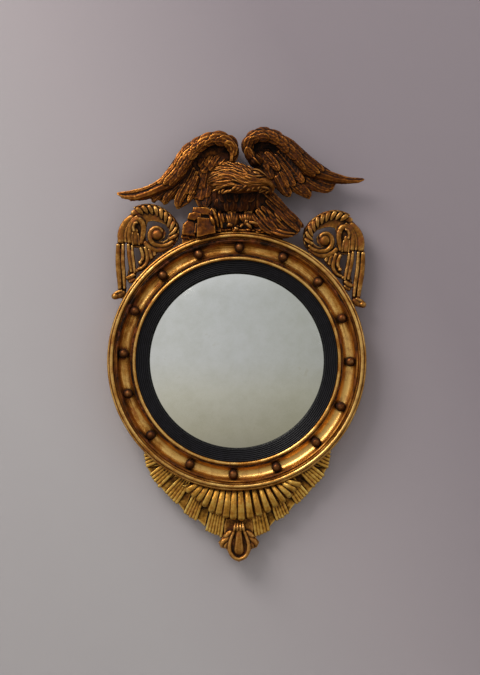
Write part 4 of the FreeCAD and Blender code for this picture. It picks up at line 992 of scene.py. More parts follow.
# Broad rounded feathers at the back of the hollow, over the neck.
LEFT_HOLLOW = (
    ((-72, 462), (-78, 450), (-86, 440)), ((-54, 466), (-62, 452), (-70, 440)),
    ((-38, 466), (-46, 454), (-54, 442)), ((-24, 462), (-32, 452), (-40, 444)),
    ((-64, 448), (-72, 438), (-80, 428)), ((-44, 450), (-54, 440), (-62, 432)),
)
RIGHT_LONG = (
    (((168, 442), (214, 423), (254, 411), (288, 411)), 6.5, -52, -47),
    (((166, 436), (208, 417), (250, 406.5), (281, 408)), 6.0, -51, -46),
    (((164, 430), (204, 410), (240, 405.5), (270, 405.5)), 5.5, -50, -46),
    (((160, 420), (190, 407), (214, 400), (224, 401)), 9.0, -47, -45),
    (((158, 414), (184, 400), (208, 390), (220, 394)), 7.5, -46, -44),
    (((156, 410), (178, 396), (198, 387), (211, 386)), 8.0, -47, -45),
    (((140, 410), (160, 398), (178, 391), (196, 386)), 7.5, -45, -43),
    (((136, 404), (152, 390), (162, 378), (167, 371)), 8.5, -46, -44),
    (((124, 404), (138, 390), (150, 380), (160, 372)), 8.0, -47, -45),
    (((118, 402), (130, 390), (142, 381), (150, 376)), 6.5, -46, -43),
    (((96, 430), (108, 402), (118, 384), (123, 377)), 8.0, -47, -45),
    (((88, 420), (100, 396), (110, 380), (115, 374)), 8.0, -46, -44),
)
RIGHT_UNDER = (
    (((92, 478), (118, 446), (138, 420), (152, 404)), 12.5, -43, -52),
    (((82, 468), (104, 440), (122, 412), (132, 396)), 9.5, -43, -50),
    (((76, 460), (94, 434), (108, 408), (116, 392)), 9.0, -43, -49),
    (((108, 470), (130, 444), (150, 424), (166, 410)), 7.0, -43, -48),
    (((62, 474), (76, 458), (88, 442), (96, 430)), 10.5, -43, -50),
)
RIGHT_HOLLOW = (
    ((46, 476), (56, 462), (68, 448)), ((60, 480), (72, 466), (82, 454)), ((34, 468), (44, 456), (56, 446)),
    ((30, 460), (40, 448), (50, 438)), ((50, 458), (60, 444), (70, 430)), ((64, 448), (72, 430), (80, 412)),
    ((44, 446), (54, 434), (62, 422)),
)


def long_feathers(carving, feathers, tilt):
    """Feathers that hang clear of the arch, at listed depths."""
    for points, half_width, root_depth, tip_depth in feathers:
        depths = np.linspace(root_depth, tip_depth, len(points))
        path = [(x, depth, z) for (x, z), depth in zip(points, depths)]
        roll = tilt * carving.chance.uniform(0.1, 0.26)
        carving.feather(path, half_width, thick=2.1, roll=roll, root=0.8, point=0.55)


def short_feathers(carving, surface, lines, half_width, lift, point=0.7, thick=1.9, barbs=0.8):
    """Short feathers laid on the surface, each tip standing a little off it."""
    for points in lines:
        path, normals = surface.lay(points, (-0.5, lift, lift + 1.6))
        roll = carving.chance.uniform(-0.15, 0.15)
        carving.feather(path, half_width, normals, thick=thick, roll=roll, root=0.8, barbs=barbs, point=point)


def start_carving(seed, node, *beside):
    """A CAD piece as the block, and its front with that of any piece beside it, to lay detail on."""
    carving = Carving(seed)
    carving.add_node_solid(node)
    return carving, Surface(node, *beside)


def start_wing(seed, node, outer, inner, feathers, tilt):
    """A wing's block with the arch in rows of feathers and the long feathers under it."""
    carving, surface = start_carving(seed, node)
    arch_rows(carving, surface, outer, inner, (SHOULDER_ROW, MIDDLE_ROW, LOWER_ROW), tilt)
    long_feathers(carving, feathers, tilt)
    return carving, surface


def make_left_wing():
    """The left wing, with its hollow and the ruffle where it meets the neck."""
    carving, surface = start_wing(
        11, "left_wing", LEFT_ARCH_OUTER, LEFT_ARCH_INNER, LEFT_LONG + LEFT_UNDER, -1)
    short_feathers(carving, surface, LEFT_HOLLOW, 10.5, lift=0.7, point=0.6, thick=1.6, barbs=0.6)
    short_feathers(carving, surface, LEFT_RUFFLE, 10.5, lift=0.0, point=0.45, thick=1.5, barbs=0.5)
    carving.skin("carved_left_wing", "crest", "dark_gilt_wood", ["left_wing"], WING_GRAIN)


def make_right_wing():
    """The right wing, with the broad feathers in its hollow."""
    carving, surface = start_wing(
        12, "right_wing", RIGHT_ARCH_OUTER, RIGHT_ARCH_INNER, RIGHT_LONG + RIGHT_UNDER, 1)
    short_feathers(carving, surface, RIGHT_HOLLOW, 11.5, lift=1.4)
    carving.skin("carved_right_wing", "shade", "dark_gilt_wood", ["right_wing"], WING_GRAIN)


# ---- head, body, tail and legs ----
# Lines of the hackles from their loose left ends round to the face, from the crown down.
HACKLE_LINES = (
    ((-16, 446), (-4, 443), (10, 437), (22, 430), (34, 427)),
    ((-36, 440), (-18, 440), (2, 433), (18, 424), (32, 418)),
    ((-52, 430), (-30, 433), (-8, 428), (14, 418), (34, 411), (52, 411)),
    ((-60, 420), (-38, 425), (-14, 423), (8, 415), (28, 407), (52, 404), (74, 406)),
    ((-65, 409), (-42, 415), (-16, 415), (8, 408), (28, 400), (54, 398), (78, 401)),
    ((-66, 402), (-42, 407), (-16, 408), (8, 402), (28, 394), (54, 393), (78, 395)),
    ((-60, 393), (-38, 399), (-14, 400), (8, 396), (28, 390), (52, 389), (74, 389)),
    ((-56, 386), (-34, 391), (-12, 393), (8, 391), (28, 387), (50, 385), (70, 384)),
)
LOCKS_PER_GAP = 3
# Bright curls along the neck's lower edge: x, z, and how far each hangs down.
CURLED_LOCKS = (
    (-46, 383, 6), (-38, 381, 8), (-29, 380, 9), (-20, 380, 8), (-11, 381, 7), (-3, 383, 8), (6, 384, 7),
    (14, 386, 8), (23, 386, 7), (31, 385, 7), (39, 384, 8), (47, 383, 7), (55, 381, 8), (62, 379, 7),
    (69, 377, 6),
)
# Dark ruffled tufts behind the crown.
CROWN_TUFTS = ((-2, 437), (5, 435), (11, 433), (17, 431), (23, 430), (8, 440), (15, 438), (28, 433))


def make_head():
    """The neck's hackles, the brow and eye, the hooked beak and the curled locks under them."""
    carving, surface = start_carving(21, "eagle_head")
    lines = [np.array(line, float) for line in HACKLE_LINES]
    shares = np.linspace(0, 1, 9)
    for index, line in enumerate(lines):
        nexts = lines[min(index + 1, len(lines) - 1)]
        for part in range(LOCKS_PER_GAP if index < len(lines) - 1 else 1):
            mix = part / LOCKS_PER_GAP
            points = along(line, shares) * (1 - mix) + along(nexts, shares) * mix
            wave = np.sin(shares * carving.chance.uniform(7, 12) + carving.chance.uniform(0, 6))
            points[:, 1] += wave * carving.chance.uniform(1.6, 3.4)
            for start in (0.0, 0.15, 0.31, 0.47, 0.63):
                reach = np.clip(start + carving.chance.uniform(-0.07, 0.07) + 0.29 * shares, 0, 0.93)
                lock = along(points, reach)
                lock[:, 1] += carving.chance.uniform(-0.13, 0.13) * (lock[:, 0] - lock[:, 0].mean())
                lift = carving.chance.uniform(0.0, 2.6)
                path, normals = surface.lay(lock, (lift + 2.2, lift + 0.8, lift, lift, 0.2))
                carving.strand(
                    path, carving.chance.uniform(2.0, 3.5), normals, (0.15, 0.8, 1.0, 0.9, 0.5), 2.6)
    for x, z, drop in CURLED_LOCKS:
        place, normal = surface.at(x + carving.chance.uniform(-3, 3), z + carving.chance.uniform(0, 7))
        sway = carving.chance.uniform(0.3, 1.9)
        path = [place + (12 * sway, 0.5, 8), place + (6 * sway, -2.5, 4), place + (-1, -3.8, -1),
                place + (-5 * sway, -2.8, -drop * 0.6), place + (-7 * sway, -0.5, -drop * 0.9)]
        carving.strand(path, carving.chance.uniform(2.3, 4.0), normal, (0.2, 0.7, 1.0, 0.9, 0.2))
    face, _ = surface.at(44, 420)
    carving.lump((44, face[1] - 0.5, 420.5), (4.6, 4.2, 9.0), 108)
    carving.lump((42, face[1] - 3.4, 421), (3.0, 2.2, 3.8), 100)
    brow, normals = surface.lay(
        ((24, 425), (34, 428), (46, 427), (58, 420), (68, 414)), (0.5, 2.0, 2.6, 1.8, 0.3))
    carving.strand(brow, 2.6, normals, (0.4, 1.0, 1.0, 0.4))
    lid, normals = surface.lay(((30, 418), (40, 413.5), (52, 413), (64, 414)), (1.5, 3.0, 3.0, 1.0))
    carving.strand(lid, 1.8, normals, (0.4, 1.0, 0.5))
    upper, normals = surface.lay(
        ((48, 403), (60, 403), (72, 398), (80, 388), (80, 378)), (1.0, 2.6, 3.2, 2.4, 0.8))
    carving.strand(upper, 7.2, normals, (0.6, 1.0, 1.0, 0.75, 0.25), 4.6)
    lower, normals = surface.lay(((52, 391), (62, 390), (70, 387), (75, 382)), (1.5, 2.8, 2.4, 0.5))
    carving.strand(lower, 3.3, normals, (0.7, 1.0, 0.8, 0.2))
    gape, normals = surface.lay(((44, 399), (54, 397), (64, 396), (72, 392)), (1.0, 2.4, 2.6, 1.5))
    carving.strand(gape, 2.0, normals, (0.4, 1.0, 0.9, 0.5))
    for x, z in CROWN_TUFTS:
        tuft, normals = surface.lay(
            ((x + 9, z - 7), (x + 3, z - 2), (x - 3, z + 2), (x - 5, z + 6)), (0.5, 2.5, 3.5, 3.0))
        carving.strand(tuft, 2.6, normals, (0.7, 1.0, 0.8, 0.2))
    carving.skin("carved_head_and_neck", "hackle", "dark_gilt_wood", ["eagle_head"], 0.75, 0.6)


def make_body():
    """The breast in its hollow: long feathers that gather towards the legs, painted nearly black as painted
    shade.
    """
    carving, surface = start_carving(22, "eagle_body")
    for row, (z, reach) in enumerate(((404, 40), (378, 40), (354, 34))):
        for step in range(6):
            x = -42 + 88 * (step + 0.5 * (row % 2)) / 5.5 + carving.chance.uniform(-3, 3)
            lean = carving.chance.uniform(-5, 5)
            points = ((x, z + reach * 0.4), (x * 0.97 + lean, z), (x * 0.9, z - reach * 0.5))
            path, normals = surface.lay(points, (-0.6, 1.0, 1.8))
            roll = carving.chance.uniform(-0.2, 0.2)
            carving.feather(path, 8.5, normals, thick=1.5, roll=roll, root=0.7, barbs=0.3, point=0.3)
    for step in range(16):
        x = -52 + 8.6 * step + carving.chance.uniform(-2, 2)
        drop = carving.chance.uniform(18, 30)
        lean = carving.chance.uniform(-5, 5)
        path = ((x, -38.0, 352), (x + lean * 0.3, -44.0, 344), (x + lean, -40.0, 346 - drop))
        carving.strand(path, carving.chance.uniform(5.0, 7.0), FORWARD, (0.8, 1.0, 0.7, 0.15), 4.0)
    carving.skin("carved_body", "breast_shade", "dark_gilt_wood", ["eagle_body"], 1.0)


TAIL_FEATHERS = (
    ((44, 392), (66, 384), (86, 368), (99, 351)), ((62, 384), (84, 366), (104, 348), (117, 335)),
    ((80, 368), (104, 346), (130, 322), (152, 303)), ((66, 366), (92, 342), (118, 316), (141, 293)),
    ((56, 352), (80, 330), (104, 306), (124, 289)), ((44, 344), (64, 322), (86, 300), (106, 285)),
    ((34, 336), (50, 316), (68, 298), (86, 287)), ((28, 326), (42, 308), (56, 296)),
)
TAIL_FOOT = (((76, 293), (100, 285), (128, 282)), ((84, 300), (106, 291), (132, 288)))


def make_tail():
    """The fanned tail: long feathers from the body down to the right, with a tuft at its foot."""
    carving, surface = start_carving(23, "eagle_tail", "eagle_body")
    for index, points in enumerate(TAIL_FEATHERS):
        path, normals = surface.lay(points, (0.5, 1.4 + 1.6 * (index % 2), 0.8 + 1.4 * (index % 2)))
        carving.feather(path, 9.0, normals, roll=-0.25, root=0.75, barbs=0.9, point=0.4)
    for _ in range(16):
        x = carving.chance.uniform(48, 84)
        z = carving.chance.uniform(322, 352)
        points = ((x, z), (x + 8, z - 13), (x + 19, z - 25))
        path, normals = surface.lay(points, (0.5, 4.0, 3.0))
        carving.strand(path, carving.chance.uniform(2.2, 3.2), normals, (0.3, 1.0, 0.3))
    for points in TAIL_FOOT:
        path, normals = surface.lay(points, (1.5, 4.5, 2.5))
        carving.strand(path, 4.6, normals, (0.5, 1.0, 0.3))
    carving.skin("carved_tail", "shade", "dark_gilt_wood", ["eagle_tail"], 1.0)


def make_legs():
    """Feathered thighs that gather to the ankles, and toes with claws."""
    toes = {
        "left_leg": (((-9, 305), (-16, 308), (-22, 305)), ((-6, 301), (-2, 299), (2, 296)),
                     ((-2, 304), (5, 307), (12, 312))),
        "right_leg": (((20, 313), (26, 309), (33, 299)), ((22, 314), (22, 318), (17, 308)),
                      ((26, 314), (40, 311), (56, 306))),
    }
    tufts = {"left_leg": ((-30, -24, -18, -12, -6, 0, 5), (-8, 302)),
             "right_leg": ((8, 14, 20, 26, 32, 38, 44), (20, 312))}
    for seed, (node, lines) in enumerate(toes.items()):
        carving, surface = start_carving(31 + seed, node)
        roots, ankle = tufts[node]
        for x in roots:
            top = 344 + carving.chance.uniform(-4, 4)
            foot = (ankle[0] + (x - ankle[0]) * 0.22, ankle[1])
            points = ((x, top), ((x + foot[0]) / 2 + (x - foot[0]) * 0.15, 323), foot)
            path, normals = surface.lay(points, (-2.0, 2.5, 1.5))
            carving.strand(path, carving.chance.uniform(3.2, 4.2), normals, (0.3, 0.9, 1.0, 0.35))
        for line in lines:
            path, normals = surface.lay(line, (3.0, 4.5, 2.0))
            carving.strand(path, 4.4, normals, (1.0, 1.0, 0.9, 0.3))
        carving.skin("carved_" + node, "hackle", "dark_gilt_wood", [node], 0.85)


# Broken blocks: front-view outline, back and front depth.
ROCK_BLOCKS = (
    (((-112, 321), (-108, 333), (-94, 337), (-81, 333), (-80, 322), (-96, 317)), -44, -73),
    (((-101, 338), (-98, 347), (-84, 348), (-66, 344), (-64, 335), (-82, 333)), -44, -69),
    (((-124, 286), (-122, 308), (-112, 317), (-97, 315), (-91, 300), (-94, 282)), -42, -66),
    (((-97, 289), (-93, 311), (-80, 319), (-62, 314), (-56, 300), (-66, 289)), -44, -70),
    (((-127, 278), (-124, 290), (-112, 292), (-106, 276)), -42, -58),
)
ROCK_LEAVES = (
    ((-34, 300), (-36, 316), (-40, 330), (-38, 342), (-44, 346)),
    ((-42, 302), (-46, 318), (-50, 332), (-54, 342)),
    ((-52, 306), (-56, 320), (-62, 330)), ((-30, 312), (-33, 324), (-33, 334)),
)


def make_rocks():
    """The rocks, in rounded blocks with chiselled faces, and the leaf that curls up beside them."""
    carving, surface = start_carving(41, "rockwork")
    for outline, back, front in ROCK_BLOCKS:
        carving.board(outline, back, front, 2.2)
    for turn in range(-13, 13, 2):
        angle = math.radians(turn + carving.chance.uniform(-0.5, 0.5))
        reach = turned_sizes().ring_radius / MM + carving.chance.uniform(3.0, 6.0)
        half_sizes = [carving.chance.uniform(*span) for span in ((8, 11), (8, 14), (4, 6))]
        carving.lump((reach * math.sin(angle), -45.0, reach * math.cos(angle)), half_sizes)
    for line in ROCK_LEAVES:
        path, normals = surface.lay(line, (2.0, 5.0, 5.0, 3.0))
        carving.strand(path, 4.2, normals, (0.6, 1.0, 0.9, 0.5))
    carving.skin("carved_rockwork", "crest", "dark_gilt_wood", ["rockwork"], 0.95, 1.6)


# ---- scrolls ----
SCROLL_BACK = JOINT_Y
SCROLL_FACE = -42.0
LEFT_PLATE = (
    (-271, 262), (-271, 276), (-268, 292), (-262, 308), (-255, 320), (-245, 331), (-236, 337), (-228, 345),
    (-215, 351), (-199, 355), (-182, 352), (-167, 346), (-152, 336), (-141, 325), (-132, 311), (-130, 298),
    (-131, 284), (-135, 272), (-142, 264), (-155, 259), (-168, 256), (-178, 252), (-184, 240), (-192, 229),
    (-201, 224), (-206, 238), (-209, 254), (-222, 257), (-236, 258), (-248, 262), (-252, 270), (-256, 262),
)
LEFT_HOLE = ((-205, 306), (-202, 316), (-190, 318), (-176, 315), (-162, 309), (-153, 298), (-152, 286),
             (-158, 276), (-166, 271), (-176, 271), (-164, 280), (-161, 291), (-168, 302), (-180, 306),
             (-192, 303), (-199, 292), (-200, 278), (-205, 268), (-208, 286))
# Middle line of the roll that the slanted lobes lie on, from the leaf over the top and down.
LEFT_ROLL = ((-240, 333), (-226, 340), (-208, 345), (-190, 344), (-173, 337), (-158, 325), (-147, 309),
             (-142, 292), (-146, 275))
LOBE_COUNT = 10
LOBE_REACH = 9.6
# Bands of the scroll: front-view points, half width, lift off the board's face and rise.
LEFT_BANDS = (
    # The roll that the lobes lie on.
    (LEFT_ROLL, 7.5, 0.0, 3.4),
    # The band that winds round the boss.
    (((-143, 274), (-154, 265), (-172, 261), (-189, 266), (-197.5, 279), (-195, 294), (-185, 302.5),
      (-174, 300), (-168, 290)), 5.2, 1.5, 5.4),
    # The flange along the ring.
    (((-211, 272), (-203, 262), (-190, 254), (-172, 252), (-156, 258), (-144, 266)), 6.0, 0.0, 4.6),
)
LEFT_LEAF = (
    (((-262, 266), (-262, 285), (-257, 302), (-247, 317), (-233, 329)), 9.3, 0.0, 5.0),
    (((-252, 268), (-252, 288), (-246, 306), (-236, 321), (-224, 329)), 3.4, 1.6, 4.4),
    (((-243, 266), (-244, 288), (-240, 306), (-232, 318), (-223, 321), (-215, 315), (-211.5, 301),
      (-213.5, 284), (-219, 264)), 6.4, 1.5, 5.6),
    (((-233, 292), (-234.5, 304), (-230, 313), (-223.5, 314)), 3.9, 3.5, 5.6),
    (((-230, 302), (-231, 284), (-228, 262)), 8.4, 1.0, 5.4),
    (((-236, 292), (-237, 276), (-235, 262)), 2.8, 1.6, 5.2),
    (((-224, 290), (-222, 276), (-221, 262)), 2.8, 1.6, 5.2),
)
LEFT_REED_LINES = (
    (((-269, 267), (-269.5, 222), (-267, 190), (-265, 162)), 5.7, 0.5, 5.0),
    (((-258, 267), (-258.5, 226), (-256, 192), (-254.5, 162)), 4.5, 1.0, 5.0),
    (((-246, 267), (-245, 245), (-242, 222), (-239, 200)), 4.6, 0.5, 5.0),
    (((-237.5, 263), (-236.5, 240), (-233.5, 218), (-231, 198)), 3.8, 1.0, 5.0),
    (((-219, 258), (-214, 242), (-214, 232), (-219, 224)), 4.2, 1.0, 4.8),
    (((-209, 260), (-203.5, 240), (-204, 224), (-212, 213), (-226, 207)), 4.6, 0.5, 5.0),
    (((-199, 256), (-196, 242), (-193, 230)), 4.6, 0.0, 4.6),
    (((-189, 254), (-187, 244), (-186, 237)), 4.2, 0.0, 4.2),
    (((-252, 187), (-242, 190), (-230, 198)), 5.6, 0.0, 5.0),
    (((-247, 180), (-238, 181), (-230, 188)), 4.4, -1.0, 4.6),
    (((-275, 146), (-264, 149), (-252, 158)), 6.6, 0.0, 5.0),
    (((-280, 150), (-270, 156), (-258, 160)), 4.0, 0.5, 4.6),
)
LEFT_REED_PLATE = (
    ((-273, 268), (-273.5, 220), (-271, 175), (-270, 160), (-281, 152), (-282, 144), (-273, 140), (-262, 143),
     (-252, 153), (-251, 165), (-252, 195), (-254.5, 225), (-254.5, 268)),
    ((-249.5, 268), (-248.5, 240), (-245, 210), (-250, 192), (-248, 180), (-236, 179), (-229, 190),
     (-228, 204), (-231, 225), (-234, 250), (-234.5, 268)),
    ((-222, 262), (-218, 246), (-216, 236), (-219, 226), (-224, 214), (-228, 209), (-222, 203), (-212, 206),
     (-202, 216), (-200, 230), (-203, 245), (-206, 262)),
    ((-207, 262), (-201, 240), (-199, 226), (-192, 230), (-184, 242), (-184, 258)),
)


def scroll_on(carving, lines, face):
    """Lays bands on a board's face, each at its own lift."""
    for points, half_width, lift, rise in lines:
        carving.band([(x, face - lift, z) for x, z in points], half_width, rise)


def slanted_lobes(carving):
    """Leaf-shaped lobes across the roll, each slanting down the scroll, inside a smooth outer rim."""
    roll_length = line_length(LEFT_ROLL)
    shares = np.linspace(0.0, 1.0, 40)
    middle = along(LEFT_ROLL, shares)
    run = unit(along(LEFT_ROLL, shares + 0.02) - along(LEFT_ROLL, shares - 0.02))
    out = np.column_stack((-run[:, 1], run[:, 0]))
    rim = (middle + out * LOBE_REACH)[3:]
    carving.strand([(x, SCROLL_FACE - 0.4, z) for x, z in rim], 2.3, FORWARD, (0.9, 1.0, 0.8), 3.4)
    for index in range(LOBE_COUNT):
        share = 0.14 + 0.82 * index / (LOBE_COUNT - 1)
        slant = 4.5 + 6.5 * share
        path = []
        for across, lift in ((0.85, 3.0), (0.5, 5.6), (0.0, 6.6), (-0.6, 5.4), (-1.15, 2.5)):
            spot = np.array((share - across * slant / roll_length,))
            place = along(LEFT_ROLL, spot)[0]
            ahead = unit(along(LEFT_ROLL, spot + 0.02)[0] - along(LEFT_ROLL, spot - 0.02)[0])
            place = place + np.array((-ahead[1], ahead[0])) * across * LOBE_REACH
            path.append((place[0], SCROLL_FACE - lift + 1.0, place[1]))
        half_width = (4.9 - share) * carving.chance.uniform(0.94, 1.06)
        carving.band(path, half_width, 3.0, (1.0, 1.0, 1.0, 0.8, 0.25))


def left_scroll_forms(carving):
    """The volute: a pierced board, its lobed band, the boss in its eye and the leaf behind it."""
    carving.board(LEFT_PLATE, SCROLL_BACK, SCROLL_FACE, hole=LEFT_HOLE)
    scroll_on(carving, LEFT_BANDS, SCROLL_FACE)
    slanted_lobes(carving)
    scroll_on(carving, LEFT_LEAF, SCROLL_FACE)
    carving.lump((-180.5, SCROLL_FACE - 1.5, 286.5), (12.4, 7.4, 12.4))


RIGHT_TURN = math.radians(3.9)


def mirrored(points):
    """Left-hand points carried over to where the right scroll stands."""
    points = np.asarray(points, float)
    x = -points[:, 0]
    z = points[:, -1]
    moved = points.copy()
    moved[:, 0] = x * math.cos(RIGHT_TURN) + z * math.sin(RIGHT_TURN)
    moved[:, -1] = -x * math.sin(RIGHT_TURN) + z * math.cos(RIGHT_TURN)
    return moved


def ring_clearance(carving):
    """Keeps the gathered points just outside the ring's edge."""
    edge = turned_sizes().ring_radius / MM + 0.4
    for points in carving.points:
        radius = np.hypot(points[:, 0], points[:, 2])
        inside = radius < edge
        scale = np.where(inside, edge / np.maximum(radius, 1.0), 1.0)
        points[:, 0] *= scale
        points[:, 2] *= scale


def make_scrolls():
    """Both scrolls with their reeds; the right one mirrors the left and stands a little lower."""
    for side in ("left", "right"):
        for part in ("scroll", "reeds"):
            carving = Carving(51)
            if part == "scroll":
                left_scroll_forms(carving)
            else:
                for plate in LEFT_REED_PLATE:
                    carving.board(plate, SCROLL_BACK, SCROLL_FACE + 2.0)
                scroll_on(carving, LEFT_REED_LINES, SCROLL_FACE + 1.0)
                carving.lump((-276, SCROLL_FACE, 147), (8.6, 7.0, 7.8))
                carving.lump((-219, SCROLL_FACE, 223), (5.4, 5.6, 5.4))
                carving.lump((-228, SCROLL_FACE, 205), (6.4, 5.0, 4.8))
            if side == "right":
                carving.points = [mirrored(points) for points in carving.points]
                carving.faces = [face[::-1] for face in carving.faces]
            ring_clearance(carving)
            carving.skin("carved_%s_%s" % (side, part), "scroll", "gilt_wood", ["%s_%s" % (side, part)], 0.8)


# ---- apron ----
FAN_TIPS = ((-116, -296), (-102, -308), (-89, -318), (-75, -331), (-59, -345), (-42, -351), (-25, -357.5),
            (-8, -361.5), (11, -364), (31, -360), (52, -353.5), (72, -344), (90, -332), (108, -321),
            (123, -309), (134, -294), (146, -282))
# A group of flutes: both outer corners of its end, both roots, how proud it stands and its count of flutes.
LEFT_RAYS = (
    ((-212, -204), (-206, -244), (-172, -180), (-158, -222), 9.0, 5),
    ((-205, -244), (-196, -260), (-150, -206), (-146, -222), 5.5, 0),
    ((-198, -256), (-176, -290), (-144, -216), (-128, -238), 10.0, 5),
    ((-176, -286), (-162, -304), (-128, -240), (-120, -250), 5.5, 0),
    ((-164, -298), (-136, -328), (-118, -252), (-100, -268), 10.0, 5),
    ((-138, -320), (-120, -345), (-100, -266), (-92, -276), 5.5, 0),
    ((-122, -345), (-92, -366), (-88, -280), (-68, -292), 10.0, 5),
    ((-94, -358), (-72, -380), (-66, -290), (-54, -296), 5.5, 0),
    ((-72, -384), (-33, -402), (-48, -300), (-22, -304), 11.0, 6),
)
RIGHT_RAYS = (
    ((214, -206), (208, -246), (172, -182), (158, -222), 9.0, 5),
    ((206, -244), (197, -264), (150, -206), (146, -222), 5.5, 0),
    ((200, -258), (174, -289), (144, -216), (128, -238), 10.0, 5),
    ((178, -284), (162, -304), (128, -240), (120, -250), 5.5, 0),
    ((164, -300), (136, -328), (118, -252), (100, -268), 10.0, 5),
    ((138, -320), (118, -346), (100, -266), (92, -276), 5.5, 0),
    ((120, -346), (90, -366), (88, -280), (68, -292), 10.0, 5),
    ((94, -358), (74, -380), (66, -290), (54, -296), 5.5, 0),
    ((76, -384), (40, -402), (52, -300), (30, -304), 11.0, 5),
)
RAY_BACK = JOINT_Y
APRON_EDGE = 292.8


def make_rays():
    """The pleated rays: proud groups of fine flutes between lower ones, stepped at their ends."""
    for name, groups in (("left", LEFT_RAYS), ("right", RIGHT_RAYS)):
        carving = Carving(61)
        for corner_a, corner_b, root_a, root_b, rise, count in groups:
            corners = [np.array(point, float) for point in (corner_a, corner_b, root_a, root_b)]
            for index in range(count):
                share = (index + 0.5) / count
                end = corners[0] * (1 - share) + corners[1] * share
                root = corners[2] * (1 - share) + corners[3] * share
                spread = np.linalg.norm(corners[1] - corners[0]) / count
                end = end + unit(end - root) * carving.chance.uniform(-1.2, 1.6)
                top = RAY_BACK - rise
                middle = (root + end) / 2
                path = [(root[0], top - 3.0, root[1]), (middle[0], top - 1.0, middle[1]),
                        (end[0], top + 1.5, end[1])]
                carving.band(path, spread * 0.5, 3.4, (0.55, 0.9, 1.04, 0.95))
            outline = [corners[2], corners[0], corners[1], corners[3]]
            middle = sum(outline) / 4
            outline = [tuple(middle + (point - middle) * 0.95) for point in outline]
            carving.board(outline, RAY_BACK + 1.0, RAY_BACK - rise + 1.0, 1.0)
        ring_clearance(carving)
        carving.skin("carved_rays_" + name, "apron", "gilt_wood", ["apron_rays_" + name], 0.85)


def make_fan():
    """The fan: rounded fingers side by side, each with a sunk line along it, over a curved panel."""
    carving = Carving(62)
    for x, z in FAN_TIPS:
        root_x = x * 0.72
        root = (root_x, -41.0, -math.sqrt(max(APRON_EDGE ** 2 - root_x ** 2, 1.0)) + 4.0)
        away = 1.0 - 0.25 * abs(x) / 150
        tip = (x, -46.5, z + 1.0)
        middle = ((root[0] + tip[0]) / 2, -49.5, (root[2] + tip[2]) / 2)
        turn = carving.chance.uniform(-0.08, 0.08)
        widths = np.array((6.2, 8.8, 9.8)) * away
        carving.form((root, middle, tip), widths, (6.0, 7.6, 6.0), FORWARD, "feather", finger_top, turn)
    rim = [(-124, -282), (-100, -300), (-58, -334), (-8, -350), (10, -352), (54, -340), (102, -308),
           (142, -276), (110, -262), (-90, -262)]
    carving.board(rim, -38.3, -43.0)
    ring_clearance(carving)
    carving.skin("carved_fan", "apron", "gilt_wood", ["apron_fan"], 0.85)


def finger_top(start, gone, width, rise, across, height):
    """A finger's section: a round with a narrow raised lip along each side."""
    body = np.sign(height) * np.abs(height) ** 0.85 * rise
    lip = 0.7 * np.exp(-((np.abs(across) - 0.62) / 0.12) ** 2)
    return body + np.where(height > 0.1, lip - 0.35, 0.0)


DROP_RIM = ((-1, -374), (-8, -388), (-14, -402), (-18, -418), (-16, -434), (-7, -445), (5, -449), (17, -445),
            (26, -434), (28, -418), (24, -402), (18, -388), (11, -374))
DROP_BACKING = ((-25, -357), (-29, -374), (-29, -392), (-34, -402), (-42, -412), (-37, -424), (-24, -427),
                (-17, -438), (5, -449), (27, -438), (34, -427), (46, -423), (51, -412), (44, -402),
                (37, -390), (37, -374), (34, -357))
DROP_LEAVES = (
    ((-10, -396), (-22, -404), (-33, -413), (-35, -421)), ((-12, -408), (-22, -416), (-28, -424)),
    ((-8, -386), (-18, -392), (-28, -402)),
    ((20, -396), (32, -404), (43, -413), (44, -420)), ((22, -408), (32, -416), (38, -423)),
    ((18, -386), (28, -392), (38, -402)),
)


def make_drop():
    """The drop: a rimmed teardrop with a tongue, a curled leaf on each side and a nib."""
    carving = Carving(63)
    carving.board(DROP_BACKING, JOINT_Y, -37.0)
    carving.board(DROP_RIM, -36.0, -46.0)
    for points in (DROP_RIM[:8], DROP_RIM[:5:-1]):
        rim = [(x * 0.94 + 0.3, -48.0, z * 0.996 - 1.5) for x, z in points]
        carving.strand(rim, 4.8, FORWARD, (0.6, 0.8, 1.0, 1.0, 1.0), 5.2)
    tongue = ((5, -47.0, -378), (5, -49.5, -406), (5, -48.0, -439))
    carving.form(tongue, (5.0, 9.4, 12.4), (5.0, 6.0, 4.0), FORWARD, "feather", finger_top)
    for x, reach in ((-3, -4), (2, -1), (8, 1), (13, 4)):
        path = ((x, -44.0, -366), (x + reach * 0.4, -51.0, -376), (x + reach, -47.0, -392))
        carving.strand(path, 3.3, FORWARD, (0.6, 1.0, 0.6))
    carving.lump((4.5, -44, -451), (3.2, 4, 4.5))
    for points in DROP_LEAVES:
        path = [(x, -40.5, z) for x, z in points]
        carving.strand(path, 6.4, FORWARD, (0.7, 1.0, 1.0, 0.8), 5.4)
    carving.skin("carved_drop", "drop", "gilt_wood", ["apron_drop"], 0.8)


# ---- carried-over pieces ----
KEPT_FINISHES = {
    "pine": ["back_ring", "backboard_left", "backboard_right", "glazing_blocks", "wing_dowels", "head_dowel",
             "tail_dowel", "scroll_dowels"],
    "sized": ["crest_block", "apron_board"],
    "iron": ["crest_strap_left", "crest_strap_right", "apron_strap_left", "apron_strap_right"],
    "steel": ["strap_screws", "backboard_screws"],
    "brass": ["hanger_plate", "hanging_ring", "hanger_screws"],
}


def finish_kept_pieces():
    """Gives every piece that keeps its own shape a worked finish."""
    for finish, names in KEPT_FINISHES.items():
        for name in names:
            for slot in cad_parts[name].material_slots:
                slot.material = finish_of(finish)


